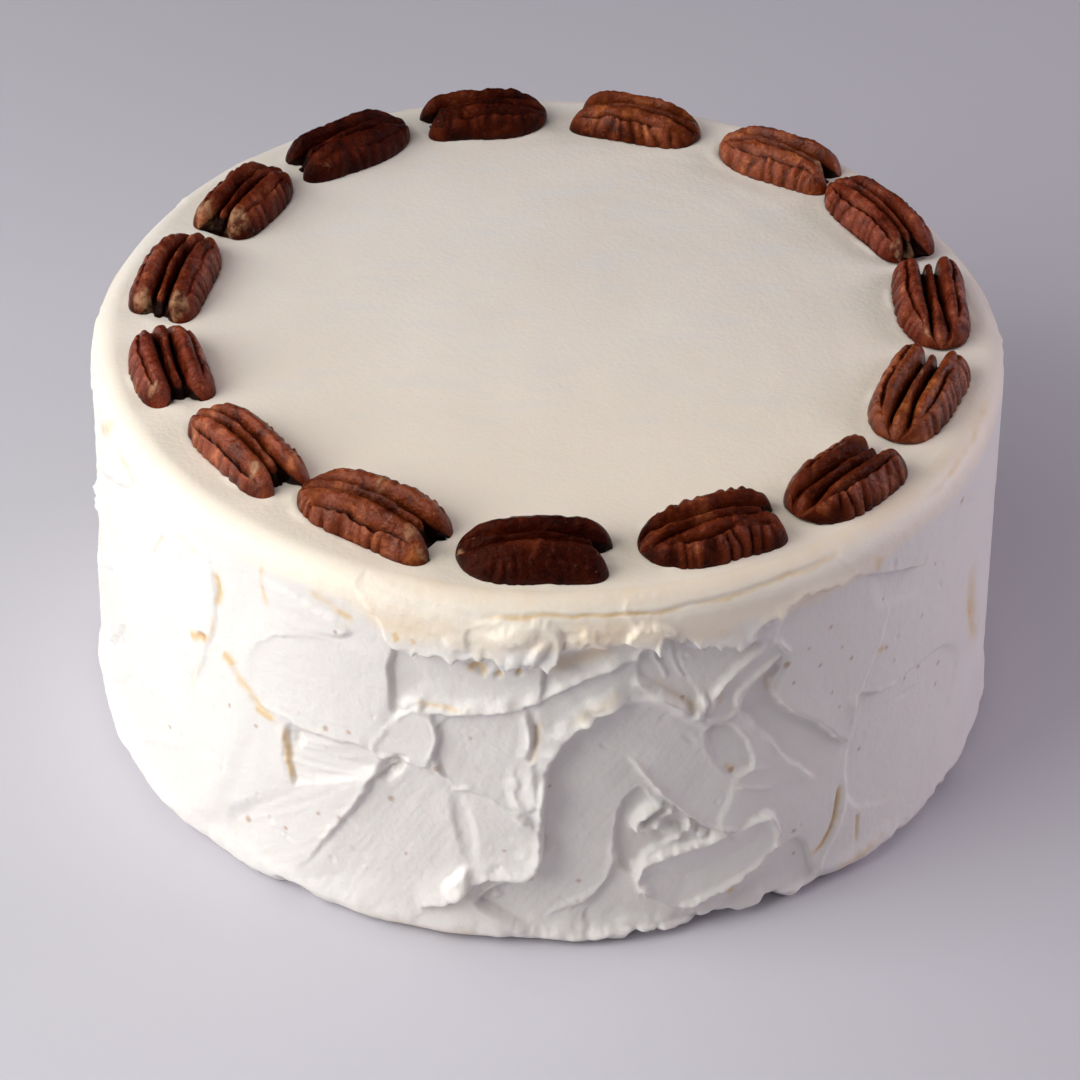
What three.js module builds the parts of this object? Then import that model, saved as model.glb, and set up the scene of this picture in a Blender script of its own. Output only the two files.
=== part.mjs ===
// Hummingbird cake: one tall round cake, frosted all over with a palette knife, under a ring of pecan
// halves.
// Millimetres, +Z up. The origin is on the underside, at the middle of the cake's box.
// The side is described on its unrolled surface: an angle round the cake, in degrees, and a height, in mm.

import * as THREE from 'three';

// ---- driving dimensions

const CAKE_HEIGHT = 95; // underside to the top frosting
const BASE_RADIUS = 107; // frosting included, just above the hem
const SHOULDER_RADIUS = 105; // where the side turns over into the rim
const RIM_ROUND = 6; // radius of that turn
const HEM_HEIGHT = 8; // lumpy band that the knife leaves along the bottom
const HEM_TUCK = 2.5; // how far the hem draws in where it meets the plate

const COLUMNS = 120; // facets round the cake
const SIDE_ROWS = 15; // facet rows between the hem and the rim
const RIM_ROWS = 2; // facet rows round the rim's turn
const TOP_RINGS = [
  { radius: 86, share: 2 }, // share: columns of the ring outside it for each of its own
  { radius: 62, share: 2 },
  { radius: 32, share: 1 },
];

const NUT_SEAT_GAP = 0.3; // clearance between a nut and the frosting under it
const NUT_RING = [
  // angle round the cake, distance from its axis, heading of the notched end, length, width, height; in mm
  // and degrees
  { angle: -91.4, ring: 87.3, heading: 0, length: 33.5, width: 18, height: 8.1 },
  { angle: -116.3, ring: 84.8, heading: -32, length: 36, width: 18.5, height: 8.2 },
  { angle: -141, ring: 85.2, heading: -50, length: 34.5, width: 15.8, height: 7.8 },
  { angle: -165.4, ring: 88, heading: -72, length: 28, width: 17.5, height: 7.9 },
  { angle: 170.3, ring: 88.2, heading: -104, length: 33, width: 17.3, height: 7.9 },
  { angle: 146.8, ring: 87.3, heading: -120, length: 29, width: 16.5, height: 7.8 },
  { angle: 124, ring: 88.7, heading: -142, length: 33.5, width: 16, height: 7.8 },
  { angle: 101, ring: 90.2, heading: -168, length: 31.5, width: 15.3, height: 7.6 },
  { angle: 76.8, ring: 90.2, heading: 164, length: 32.5, width: 15, height: 7.6 },
  { angle: 52.4, ring: 90, heading: -32, length: 32, width: 15.8, height: 7.7 },
  { angle: 31, ring: 90.4, heading: -60, length: 35.5, width: 15, height: 7.7 },
  { angle: 7, ring: 89, heading: 93, length: 34.5, width: 17, height: 7.9 },
  { angle: -18, ring: 87, heading: 71, length: 35.5, width: 18.3, height: 8 },
  { angle: -43.2, ring: 88, heading: 49, length: 31, width: 18, height: 8 },
  { angle: -66, ring: 86.2, heading: 22, length: 33, width: 18.5, height: 8.2 },
];

// ---- small helpers

const degrees = (angle) => THREE.MathUtils.degToRad(angle);
const along = (angle) => degrees(angle) * BASE_RADIUS; // mm round the side for an angle in degrees
const GIRTH = 2 * Math.PI * BASE_RADIUS;

// A repeatable number from 0 to 1 for each whole number.
function chance(index) {
  const wave = Math.sin(index * 12.9898 + 4.1414) * 43758.5453;
  return wave - Math.floor(wave);
}

// Smooth uneven field over the unrolled side, from -1 to 1, with bumps of about the cell's size.
function unevenness(u, z, cell, seed) {
  const count = Math.round(GIRTH / cell);
  const x = (u / GIRTH) * count + count;
  const y = z / cell + 8;
  const column = Math.floor(x);
  const row = Math.floor(y);
  const blendX = THREE.MathUtils.smoothstep(x - column, 0, 1);
  const blendY = THREE.MathUtils.smoothstep(y - row, 0, 1);
  const knot = (i, j) => 2 * chance(((column + i) % count) + 977 * (row + j) + 7919 * seed) - 1;
  const low = THREE.MathUtils.lerp(knot(0, 0), knot(1, 0), blendX);
  const high = THREE.MathUtils.lerp(knot(0, 1), knot(1, 1), blendX);
  return THREE.MathUtils.lerp(low, high, blendY);
}

// Points [angle, height] as one smooth line in mm on the unrolled side.
function smoothLine(points, closed) {
  const knots = points.map(([angle, height]) => new THREE.Vector3(along(angle), height, 0));
  const line = new THREE.CatmullRomCurve3(knots, closed, 'catmullrom', 0.5);
  return line.getPoints(points.length * 5);
}

// The nearest place on a line: how far it is, on which side (left is +1), and its share of the length.
function nearest(line, u, z) {
  const found = { distance: Infinity, side: 1, share: 0 };
  for (let i = 0; i + 1 < line.length; i++) {
    const runU = line[i + 1].x - line[i].x;
    const runZ = line[i + 1].y - line[i].y;
    const offU = u - line[i].x;
    const offZ = z - line[i].y;
    const part = THREE.MathUtils.clamp((offU * runU + offZ * runZ) / (runU * runU + runZ * runZ), 0, 1);
    const distance = Math.hypot(offU - part * runU, offZ - part * runZ);
    if (distance < found.distance) {
      found.distance = distance;
      found.side = runU * offZ - runZ * offU > 0 ? 1 : -1;
      found.share = (i + part) / (line.length - 1);
    }
  }
  return found;
}

function isInside(line, u, z) {
  let inside = false;
  for (let i = 0; i + 1 < line.length; i++) {
    const a = line[i];
    const b = line[i + 1];
    const crosses = a.y > z !== b.y > z;
    if (crosses && u < a.x + ((b.x - a.x) * (z - a.y)) / (b.y - a.y)) {
      inside = !inside;
    }
  }
  return inside;
}

// ---- what the palette knife leaves; each returns a function from the depth so far to the new depth

// A facet: the knife's flat face sets its own level inside an outline. lean is the rise over 10 mm to the
// right and over 10 mm upward; hollow is how far its middle dips.
function facet(outline, level, lean = [0, 0], hollow = 0.3, soft = 1) {
  const line = smoothLine(outline, true);
  const box = new THREE.Box3().setFromPoints(line).expandByScalar(soft);
  const middle = box.getCenter(new THREE.Vector3());
  return (depth, u, z) => {
    if (u < box.min.x || u > box.max.x || z < box.min.y || z > box.max.y) {
      return depth;
    }
    const place = nearest(line, u, z);
    const inward = isInside(line, u, z) ? place.distance : -place.distance;
    const share = THREE.MathUtils.smoothstep(inward, -soft, soft);
    const tilt = (lean[0] * (u - middle.x) + lean[1] * (z - middle.y)) / 10;
    const dip = hollow * THREE.MathUtils.smoothstep(inward, 0, 9);
    return THREE.MathUtils.lerp(depth, level + tilt - dip, share);
  };
}

// A ridge pushed up along a line; step raises its left side over its right, dying away over fade mm.
function ridge(path, height, width = 1.4, step = 0, fade = 6) {
  const line = smoothLine(path, false);
  const reach = Math.max(3 * width, 2 * fade);
  const box = new THREE.Box3().setFromPoints(line).expandByScalar(reach);
  return (depth, u, z) => {
    if (u < box.min.x || u > box.max.x || z < box.min.y || z > box.max.y) {
      return depth;
    }
    const place = nearest(line, u, z);
    const start = THREE.MathUtils.smoothstep(place.share, 0, 0.15);
    const end = THREE.MathUtils.smoothstep(1 - place.share, 0, 0.15);
    const crest = height * Math.exp(-((place.distance / width) ** 2));
    const drop = 0.5 * step * place.side * Math.exp(-((place.distance / fade) ** 1.5));
    return depth + (crest + drop) * start * end;
  };
}

// A blob of frosting left standing, turned by an angle, with its two half-sizes.
function lump(angle, height, halfLength, halfWidth, rise, turn = 0) {
  const centre = new THREE.Vector2(along(angle), height);
  return (depth, u, z) => {
    const offset = new THREE.Vector2(u, z).sub(centre).rotateAround(new THREE.Vector2(), -degrees(turn));
    const reach = Math.hypot(offset.x / halfLength, offset.y / halfWidth);
    return depth + rise * (1 - THREE.MathUtils.smoothstep(reach, 0.35, 1.2));
  };
}

// The broad passes over the front, then the narrower ones that cut into them, in the order they were made.
const frontStrokes = [
  facet([[-150, 8], [-150, 92], [-128, 92], [-126, 60], [-130, 30], [-136, 8]], 0.7, [0.1, -0.05], 0.2, 3),
  facet(
    [[-128, 52], [-127, 70], [-118, 78], [-108, 77], [-107, 60], [-110, 48], [-118, 46]],
    1.2, [0.1, -0.1],
  ),
  facet([[-60, 8], [-58, 90], [-30, 92], [-2, 92], [-2, 8]], 0, [0.03, -0.06], 0.2, 4),
  // the wide hollow sweep, and the band that was folded down over its top
  facet(
    [
      [-92, 8], [-91, 30], [-91, 50], [-88, 64], [-82, 70], [-74, 66],
      [-70, 58], [-66, 44], [-70, 26], [-78, 12], [-84, 6],
    ],
    -1.7, [0.35, 0.1], 1.3, 1.5,
  ),
  facet(
    [[-91, 60], [-90, 70], [-84, 76], [-79, 80], [-74, 72], [-78, 69], [-83, 66], [-87, 62]],
    -0.2, [-0.3, -0.6],
  ),
  // the sunk facet under the front of the rim
  facet(
    [[-107.5, 62], [-107.5, 80], [-98, 84], [-88, 82], [-80, 80], [-90, 70], [-97, 65], [-104, 63]],
    -1.3, [0.45, -0.1],
  ),
  // the fan of facets left of the hollow sweep
  facet(
    [[-109, 44], [-103, 52], [-99, 46], [-96, 24], [-100, 14], [-104, 7], [-121, 9], [-114, 28]],
    -0.8, [0.2, -0.1],
  ),
  facet(
    [[-102, 50], [-101, 62], [-96, 66], [-90.5, 68], [-90.5, 38], [-95, 40], [-100, 44]],
    -0.1, [0.25, 0.1],
  ),
  facet(
    [[-110, 50], [-107.5, 60], [-105, 64.5], [-102.6, 62], [-101.6, 56], [-103, 50], [-106, 48.5]],
    0.8, [0.2, -0.1],
  ),
  facet(
    [[-100, 43], [-96, 42], [-91, 36.5], [-90, 31], [-90, 25.5], [-93, 21], [-97, 20], [-99, 30]],
    1, [0.28, 0.05],
  ),
  // the leaf-shaped pass at the lower left, and the ground above it
  facet(
    [[-130, 14], [-124, 28], [-117, 37], [-109.5, 43], [-112, 33], [-116, 21], [-121, 10], [-127, 9]],
    1.4, [0.5, 0],
  ),
  facet([[-121, 35], [-120, 50], [-110, 49], [-109, 44], [-115, 39]], -0.3, [0.2, -0.2]),
  // the long curved ridge across the front, its overhanging lower half and the torn flap under it
  ridge([[-80, 79], [-90, 70], [-97, 66], [-100, 64.5], [-105, 65.5], [-107.5, 61]], 0.9),
  ridge([[-90.5, 36], [-91, 45], [-90, 56], [-87.5, 62], [-83, 66.5]], 0.7, 1.4, 1.5),
  ridge(
    [[-104, 8], [-101, 13], [-98, 18], [-95, 19.5], [-91.5, 21.5], [-89.6, 26], [-89.8, 36]],
    0.8, 1.4, 1.6, 5,
  ),
  lump(-99, 17, 4.5, 2.4, 1.5, 60),
  // frosting pushed over the rim at the front
  lump(-102, 80.5, 9, 2.4, 1.5, 2),
  lump(-93, 84, 6.5, 5.5, 1.8, 20),
  lump(-77.5, 84.5, 3.4, 2.6, 2, 20),
  // right of the hollow sweep
  facet([[-76, 81], [-68, 80], [-64, 83], [-60, 87], [-60, 92], [-80, 91], [-80, 86]], 0.7, [0, -0.1]),
  facet(
    [[-78, 76], [-74, 82], [-66, 79], [-64, 77], [-67, 70], [-71, 62], [-74, 66]],
    -1.1, [0.3, 0.1], 0.5,
  ),
  facet(
    [[-66, 76], [-60, 86], [-50, 86], [-46, 70], [-48, 52], [-51, 40], [-57, 53], [-61, 60], [-62, 70]],
    -0.3, [0.05, -0.15],
  ),
  facet(
    [
      [-68, 62], [-67, 70], [-63, 75], [-60, 72], [-61, 61],
      [-56, 50], [-52, 40], [-56, 33], [-61, 43], [-65, 55],
    ],
    -0.9, [0.1, 0.2], 0.4,
  ),
  ridge([[-60, 60], [-57, 54], [-52, 43], [-49.5, 40]], 0.3, 1.4, -0.9, 5),
  ridge([[-71, 62], [-68, 70], [-63.5, 78], [-60, 73.5]], 0.8),
  ridge([[-67, 60], [-64, 54], [-60, 42], [-56, 34], [-54, 31]], 0.8),
  ridge([[-53, 86], [-57, 87.5], [-61, 86], [-64, 83], [-66, 80], [-73, 83]], 0.6, 1.4, 0.8, 4),
  ridge([[-49.5, 53], [-48.5, 42], [-47, 31]], 0.8, 1.8),
  ridge([[-82, 55], [-79, 48], [-76, 40], [-73, 34], [-70, 29], [-66, 27.5]], 0.7, 1.6, -0.9, 7),
  facet(
    [
      [-78, 17], [-76.5, 24], [-72, 26], [-65, 28], [-61, 29],
      [-60, 24], [-61, 18], [-66, 12.5], [-72, 9], [-75, 11],
    ],
    1, [0.25, 0.1], 0.5,
  ),
  lump(-75.5, 34, 5, 2.6, 2, 60),
  ridge([[-50, 31], [-50, 22], [-52.5, 12], [-53, 4]], 0.6),
];

// The rest of the way round has the same kind of passes: long leaves laid slantwise, each over the last.
const BACK_STROKES = 34;
const BACK_START = -34; // degrees; the passes go on from here to the left end of the front
const BACK_SPAN = 242;

function backStroke(index) {
  const draw = (k) => chance(100 + 10 * index + k);
  const angle = BACK_START + (BACK_SPAN * (index + 0.7 * draw(0))) / BACK_STROKES;
  const height = 14 + 62 * ((index * 0.618) % 1);
  const heading = degrees(draw(1) < 0.6 ? 50 + 35 * draw(2) : 110 + 45 * draw(2));
  const halfLength = 13 + 15 * draw(3);
  const halfWidth = 6.5 + 5 * draw(4);
  const corners = [[-1, 0.1], [-0.6, 0.85], [0.25, 1], [0.9, 0.55], [1, -0.2], [0.35, -0.95], [-0.6, -0.8]];
  const outline = corners.map(([forward, across]) => {
    const u = forward * halfLength * Math.cos(heading) - across * halfWidth * Math.sin(heading);
    const z = forward * halfLength * Math.sin(heading) + across * halfWidth * Math.cos(heading);
    return [angle + THREE.MathUtils.radToDeg(u / BASE_RADIUS), THREE.MathUtils.clamp(height + z, 7, 88)];
  });
  const level = -1.1 + 1.9 * draw(5);
  return facet(outline, level, [0.35 * (draw(6) - 0.5), 0.3 * (draw(7) - 0.5)], 0.3 + 0.5 * draw(8), 1.2);
}

const strokes = [...Array.from({ length: BACK_STROKES }, (_, index) => backStroke(index)), ...frontStrokes];

// ---- the cake's surface

// How far the frosting stands out of the plain round at one spot of the unrolled side.
function depthAt(u, z) {
  const angle = THREE.MathUtils.radToDeg(u / BASE_RADIUS);
  const swell = 0.8 * Math.exp(-(((angle + 135) / 32) ** 2)) * Math.exp(-(((z - 58) / 30) ** 2));
  let depth = swell + 0.35 * unevenness(u, z, 17, 1);
  for (const stroke of strokes) {
    depth = stroke(stroke(depth, u, z), u + GIRTH, z);
  }
  return depth;
}

// The same, averaged over a facet's own area, which is all that a facet can show.
function facetDepth(u, z, stepU, stepZ) {
  const shifts = [-0.33, 0, 0.33];
  let sum = 0;
  for (const shiftU of shifts) {
    for (const shiftZ of shifts) {
      sum += depthAt(u + shiftU * stepU, z + shiftZ * stepZ);
    }
  }
  return sum / shifts.length ** 2;
}

// The top isn't flat: it rolls by a fraction of a millimetre, and its rim sinks at one shoulder.
function topRise(x, y) {
  const angle = THREE.MathUtils.radToDeg(Math.atan2(y, x));
  const roll = 0.35 * Math.sin(x / 31 + 1.3) * Math.cos(y / 27 - 0.4);
  const shoulder = -1.3 * Math.exp(-(((angle - 20) / 15) ** 2));
  const rim = shoulder + 0.6 * unevenness(along(angle), 60, 45, 3);
  return roll + rim * THREE.MathUtils.smoothstep(Math.hypot(x, y), 76, 99);
}

// One level line of the outside: radius and height of the plain round, the way it faces, and how much of the
// knife's relief and of the hem's lumps it carries.
function outsideRows() {
  const rows = [
    { radius: BASE_RADIUS - HEM_TUCK, z: 0, out: 1, up: 0, relief: 0.2, hem: 1.4 },
    { radius: BASE_RADIUS + 0.4, z: 3.2, out: 1, up: 0, relief: 0.4, hem: 1.1 },
  ];
  const shoulder = CAKE_HEIGHT - RIM_ROUND;
  for (let i = 0; i <= SIDE_ROWS; i++) {
    const share = i / SIDE_ROWS;
    const z = THREE.MathUtils.lerp(HEM_HEIGHT, shoulder, share);
    const radius = THREE.MathUtils.lerp(BASE_RADIUS, SHOULDER_RADIUS, z / shoulder);
    rows.push({ radius, z, out: 1, up: 0, relief: 1, hem: i === 0 ? 0.3 : 0 });
  }
  for (let i = 1; i <= RIM_ROWS + 1; i++) {
    const turn = (Math.PI / 2) * (i / (RIM_ROWS + 1));
    const out = Math.cos(turn);
    const up = Math.sin(turn);
    const radius = SHOULDER_RADIUS - RIM_ROUND + RIM_ROUND * out;
    rows.push({ radius, z: shoulder + RIM_ROUND * up, out, up, relief: out ** 2, hem: 0 });
  }
  return rows;
}

function ringPoints(row, columns) {
  const stepU = GIRTH / columns;
  const stepZ = (CAKE_HEIGHT - RIM_ROUND - HEM_HEIGHT) / SIDE_ROWS;
  return Array.from({ length: columns }, (_, i) => {
    const turn = 2 * Math.PI * (i / columns) - Math.PI;
    const u = turn * BASE_RADIUS;
    const relief = row.relief ? row.relief * facetDepth(u, row.z, stepU, stepZ) : 0;
    const hem = row.hem ? row.hem * unevenness(u, row.z, 8, 5) : 0;
    const radius = row.radius + (relief + hem) * row.out;
    const x = radius * Math.cos(turn);
    const y = radius * Math.sin(turn);
    const rise = relief * row.up + topRise(x, y) * row.up ** 2;
    return new THREE.Vector3(x, y, row.z + rise);
  });
}

// Joins two rings of points with triangles that face outward when the second ring lies above or inside
// the first.
function stitch(triangles, lower, upper) {
  const ratio = lower.length / upper.length;
  for (let i = 0; i < upper.length; i++) {
    const next = (i + 1) % upper.length;
    for (let k = 0; k < ratio; k++) {
      const from = i * ratio + k;
      const tip = k < ratio / 2 ? i : next;
      triangles.push(lower[from], lower[(from + 1) % lower.length], upper[tip]);
    }
    triangles.push(lower[(i * ratio + Math.ceil(ratio / 2)) % lower.length], upper[next], upper[i]);
  }
}

function geometryOf(points, triangles) {
  const geometry = new THREE.BufferGeometry().setFromPoints(points);
  geometry.setIndex(triangles);
  geometry.computeVertexNormals();
  return geometry;
}

function cakeGeometry() {
  const points = [];
  const triangles = [];
  const addRing = (ring) => ring.map((point) => points.push(point) - 1);
  let ring = [];
  for (const row of outsideRows()) {
    const next = addRing(ringPoints(row, COLUMNS));
    if (ring.length) {
      stitch(triangles, ring, next);
    }
    ring = next;
  }
  for (const { radius, share } of TOP_RINGS) {
    const columns = ring.length / share;
    const next = addRing(ringPoints({ radius, z: CAKE_HEIGHT, out: 0, up: 1, relief: 0, hem: 0 }, columns));
    stitch(triangles, ring, next);
    ring = next;
  }
  const centre = new THREE.Vector3(0, 0, CAKE_HEIGHT + topRise(0, 0));
  const [crown, underside] = addRing([centre, new THREE.Vector3()]);
  ring.forEach((corner, i) => triangles.push(corner, ring[(i + 1) % ring.length], crown));
  for (let i = 0; i < COLUMNS; i++) {
    triangles.push((i + 1) % COLUMNS, i, underside);
  }
  return geometryOf(points, triangles);
}

// ---- the pecan halves

// Places along a half, from its round end to its notched end, as shares of half its length.
const NUT_STATIONS = [-0.98, -0.88, -0.68, -0.42, -0.14, 0.14, 0.4, 0.6, 0.77, 0.9, 0.98];

// The section across it, from the middle of the flat side round the outside. place: 0 in the middle, 1 at
// the inner edge of a lobe, 2 at the outline; up: share of the height.
const NUT_SECTION = [
  { place: 0, up: 0 }, // flat side
  { place: 1.6, up: 0 },
  { place: 2, up: 0.24 }, // outline
  { place: 1.84, up: 0.54 }, // knuckled flank
  { place: 1.55, up: 0.68 }, // furrow
  { place: 1.24, up: 1 }, // crest of the lobe
  { place: 1, up: 0.36 }, // groove
  { place: 0, up: 0.84 }, // ridge between the two grooves
];
const NUT_GROOVE = 0.24; // inner edge of a lobe, as a share of the half width
const NUT_TIP = 0.46; // where the tip of a lobe lies, the same way
const NUT_NOTCH = 3.5; // how far the middle falls short of the two tips
const NUT_LIFT = 0.22; // how far the ends curl up, as a share of the height

// The round end is one curve across; at the notched end each lobe has a round tip of its own.
function nutPlan(t) {
  const closing = Math.sqrt(1 - Math.abs(t) ** 2.5);
  if (t < 0) {
    return { outer: closing, inner: NUT_GROOVE * closing };
  }
  const pinch = 1 - Math.sqrt(1 - Math.max((t - 0.5) / 0.5, 0) ** 2.6);
  return {
    outer: THREE.MathUtils.lerp(NUT_TIP, 1, Math.sqrt(1 - t ** 3.6)),
    inner: THREE.MathUtils.lerp(NUT_GROOVE, NUT_TIP, pinch),
  };
}

function nutGeometry({ length, width, height }, seed) {
  const points = [];
  const half = length / 2;
  const left = NUT_SECTION.slice(1, -1).reverse();
  const section = [...NUT_SECTION, ...left.map(({ place, up }) => ({ place: -place, up }))];
  NUT_STATIONS.forEach((t, station) => {
    const { outer, inner } = nutPlan(t);
    const low = Math.sqrt(1 - Math.abs(t) ** (t > 0 ? 3.4 : 2.4));
    const open = THREE.MathUtils.smoothstep(t, 0.5, 1);
    section.forEach(({ place, up }, k) => {
      const reach = Math.abs(place);
      const share = reach < 1 ? reach * inner : THREE.MathUtils.lerp(inner, outer, reach - 1);
      const bulge = station % 2 ? 0.04 : -0.04;
      const knuckle = reach > 1.7 ? bulge + 0.04 * chance(seed + 31 * station + k) : 0;
      const sunk = reach < 1 ? 1 - 0.7 * open : 1;
      points.push(new THREE.Vector3(
        t * half - (reach <= 1 ? NUT_NOTCH * open : 0),
        Math.sign(place) * (width / 2) * share * (1 + knuckle),
        height * (up * low * sunk + NUT_LIFT * Math.abs(t) ** 6),
      ));
    });
  });
  const triangles = [];
  const count = section.length;
  const ringAt = (station) => section.map((_, k) => station * count + k);
  for (let station = 0; station + 1 < NUT_STATIONS.length; station++) {
    stitch(triangles, ringAt(station), ringAt(station + 1));
  }
  const endHeight = height * NUT_LIFT * 1.2;
  const roundEnd = points.push(new THREE.Vector3(-half, 0, endHeight)) - 1;
  const notchedEnd = points.push(new THREE.Vector3(half - NUT_NOTCH, 0, endHeight)) - 1;
  const last = ringAt(NUT_STATIONS.length - 1);
  for (let k = 0; k < count; k++) {
    const next = (k + 1) % count;
    triangles.push(next, k, roundEnd);
    triangles.push(last[k], last[next], notchedEnd);
  }
  return geometryOf(points, triangles);
}

// The highest frosting under a nut, so that it rests on the top without cutting into it.
function seatUnder(x, y, heading, length) {
  let seat = -Infinity;
  for (const share of [-0.5, -0.25, 0, 0.25, 0.5]) {
    const reach = share * length;
    seat = Math.max(seat, topRise(x + reach * Math.cos(heading), y + reach * Math.sin(heading)));
  }
  return CAKE_HEIGHT + seat + NUT_SEAT_GAP;
}

// ---- the model

const frosting = () => new THREE.MeshStandardMaterial({ color: 0xece4d8, roughness: 0.45, metalness: 0 });
const pecan = () => new THREE.MeshStandardMaterial({ color: 0x6e3a22, roughness: 0.5, metalness: 0 });

const model = new THREE.Group();

const cake = new THREE.Mesh(cakeGeometry(), frosting());
cake.name = 'cake';
model.add(cake);

NUT_RING.forEach((nut, index) => {
  const mesh = new THREE.Mesh(nutGeometry(nut, 100 * index), pecan());
  const x = nut.ring * Math.cos(degrees(nut.angle));
  const y = nut.ring * Math.sin(degrees(nut.angle));
  mesh.name = `pecan_${String(index + 1).padStart(2, '0')}`;
  mesh.position.set(x, y, seatUnder(x, y, degrees(nut.heading), nut.length));
  mesh.rotation.z = degrees(nut.heading);
  model.add(mesh);
});

// Uneven frosting leaves the box a little off the axis; the origin belongs at the box's middle.
const middle = new THREE.Box3().setFromObject(model, true).getCenter(new THREE.Vector3());
model.position.set(-middle.x, -middle.y, 0);
model.updateMatrixWorld(true);

export default model;
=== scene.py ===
"""Hummingbird cake: a tall round cake under palette-knifed frosting, with a ring of pecan halves.

Lengths are millimetres and angles are degrees until a mesh is made; Blender gets metres. The cake's side is
worked out on its unrolled surface: u is the distance round the cake and z the height above the plate. The
last two arguments of an uneven field are the size of its bumps and a seed.
"""
import math

import bmesh
import bpy
import numpy as np
from mathutils import Matrix, Vector


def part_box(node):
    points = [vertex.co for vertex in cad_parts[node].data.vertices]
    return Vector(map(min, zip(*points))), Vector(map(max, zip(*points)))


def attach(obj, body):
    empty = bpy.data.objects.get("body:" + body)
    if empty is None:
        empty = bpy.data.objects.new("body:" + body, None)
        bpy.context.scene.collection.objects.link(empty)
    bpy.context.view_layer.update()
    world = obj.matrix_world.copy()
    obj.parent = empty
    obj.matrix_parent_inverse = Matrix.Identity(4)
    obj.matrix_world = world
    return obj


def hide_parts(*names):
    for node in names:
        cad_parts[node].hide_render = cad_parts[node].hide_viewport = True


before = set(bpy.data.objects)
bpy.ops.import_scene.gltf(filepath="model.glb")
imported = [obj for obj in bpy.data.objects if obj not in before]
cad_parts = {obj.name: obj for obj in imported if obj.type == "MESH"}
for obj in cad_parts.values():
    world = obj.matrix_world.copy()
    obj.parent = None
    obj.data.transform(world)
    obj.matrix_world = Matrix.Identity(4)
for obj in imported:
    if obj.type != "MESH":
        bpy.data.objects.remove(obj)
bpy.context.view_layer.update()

MM = 0.001

# ---- sizes, as in the solids

CAKE_HEIGHT = 95.0
BASE_RADIUS = 107.0
SHOULDER_RADIUS = 105.0
RIM_ROUND = 6.0
HEM_HEIGHT = 8.0
HEM_TUCK = 2.5
SHOULDER = CAKE_HEIGHT - RIM_ROUND
TOP_RADIUS = SHOULDER_RADIUS - RIM_ROUND  # where the round of the rim ends
GIRTH = 2 * math.pi * BASE_RADIUS

# angle round the cake, distance from the axis, heading of the notched end, length, width, height
NUTS = [
    (-91.4, 87.3, 0, 33.5, 18, 8.1), (-116.3, 84.8, -32, 36, 18.5, 8.2), (-141, 85.2, -50, 34.5, 15.8, 7.8),
    (-165.4, 88, -72, 28, 17.5, 7.9), (170.3, 88.2, -104, 33, 17.3, 7.9),
    (146.8, 87.3, -120, 29, 16.5, 7.8), (124, 88.7, -142, 33.5, 16, 7.8),
    (101, 90.2, -168, 31.5, 15.3, 7.6), (76.8, 90.2, 164, 32.5, 15, 7.6), (52.4, 90, -32, 32, 15.8, 7.7),
    (31, 90.4, -60, 35.5, 15, 7.7), (7, 89, 93, 34.5, 17, 7.9), (-18, 87, 71, 35.5, 18.3, 8),
    (-43.2, 88, 49, 31, 18, 8), (-66, 86.2, 22, 33, 18.5, 8.2),
]

NUT_SUNK = 0.9  # how far their flat side is pressed into the frosting

# ---- sizes of the frosting's mesh

COLUMN_SPANS = [(-180, -150, 45), (-150, -30, 560), (-30, 180, 315)]  # degrees from, to, and mesh columns
SIDE_ROWS = 190
RIM_ROWS = 20
SEAT_ROWS = 38  # rings of the top under the nuts, from the rim inward
SEAT_RADIUS = 74.0  # where those rings end
INNER_RINGS = [(2, 72.5, 37, -1.6), (4, 35, 12, -3.0), (8, 9, 3, -5.0)]  # every nth column; from, to, by


# ---- uneven fields

def smooth(low, high, x):
    """0 up to low, 1 from high on, and a soft step between them."""
    t = np.clip((x - low) / (high - low), 0, 1)
    return t * t * (3 - 2 * t)


def within(start, full, fade, end, x):
    """A soft step up from 0 to 1 and, further on, back down."""
    return smooth(start, full, x) * (1 - smooth(fade, end, x))


def bell(x, width, power=2):
    return np.exp(-((x / width) ** power))


def turned(x, y, heading):
    """The same spots as distances forward and across along a heading."""
    turn = math.radians(heading)
    return x * math.cos(turn) + y * math.sin(turn), y * math.cos(turn) - x * math.sin(turn)


def along(angle):
    return np.radians(angle) * BASE_RADIUS


def chance(index):
    """A repeatable number from 0 to 1 for each whole number."""
    wave = np.sin(index * 12.9898 + 4.1414) * 43758.5453
    return wave - np.floor(wave)


def draws(first):
    """A function that gives these numbers, counted from the first."""
    return lambda k: float(chance(first + k))


def unevenness(u, z, cell, seed):
    """A smooth field over the unrolled side, from -1 to 1, with bumps of about the cell's size."""
    count = round(GIRTH / cell)
    x, y = u / GIRTH * count + 4 * count, z / cell + 8
    column, row = np.floor(x), np.floor(y)
    blend_x, blend_y = smooth(0, 1, x - column), smooth(0, 1, y - row)

    def knot(i, j):
        return 2 * chance((column + i) % count + 977 * (row + j) + 7919 * seed) - 1

    low, high = (knot(0, j) * (1 - blend_x) + knot(1, j) * blend_x for j in (0, 1))
    return low * (1 - blend_y) + high * blend_y


def hashed(cells, seed, axis):
    """Numbers from -1 to 1, the same each run, one for each cell of a lattice in space."""
    mixed = cells[0] * 73856093 ^ cells[1] * 19349663 ^ cells[2] * 83492791 ^ (seed * 2654435 + axis * 97531)
    mixed = (mixed ^ (mixed >> 13)) * 1274126177 & 0x7FFFFFFF
    mixed = (mixed ^ (mixed >> 16)) * 1103515245 & 0x7FFFFFFF
    return mixed / 0x3FFFFFFF - 1


SLANT = np.array(Matrix.Rotation(0.7, 3, "X") @ Matrix.Rotation(0.9, 3, "Z"))  # turns the lattice


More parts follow.
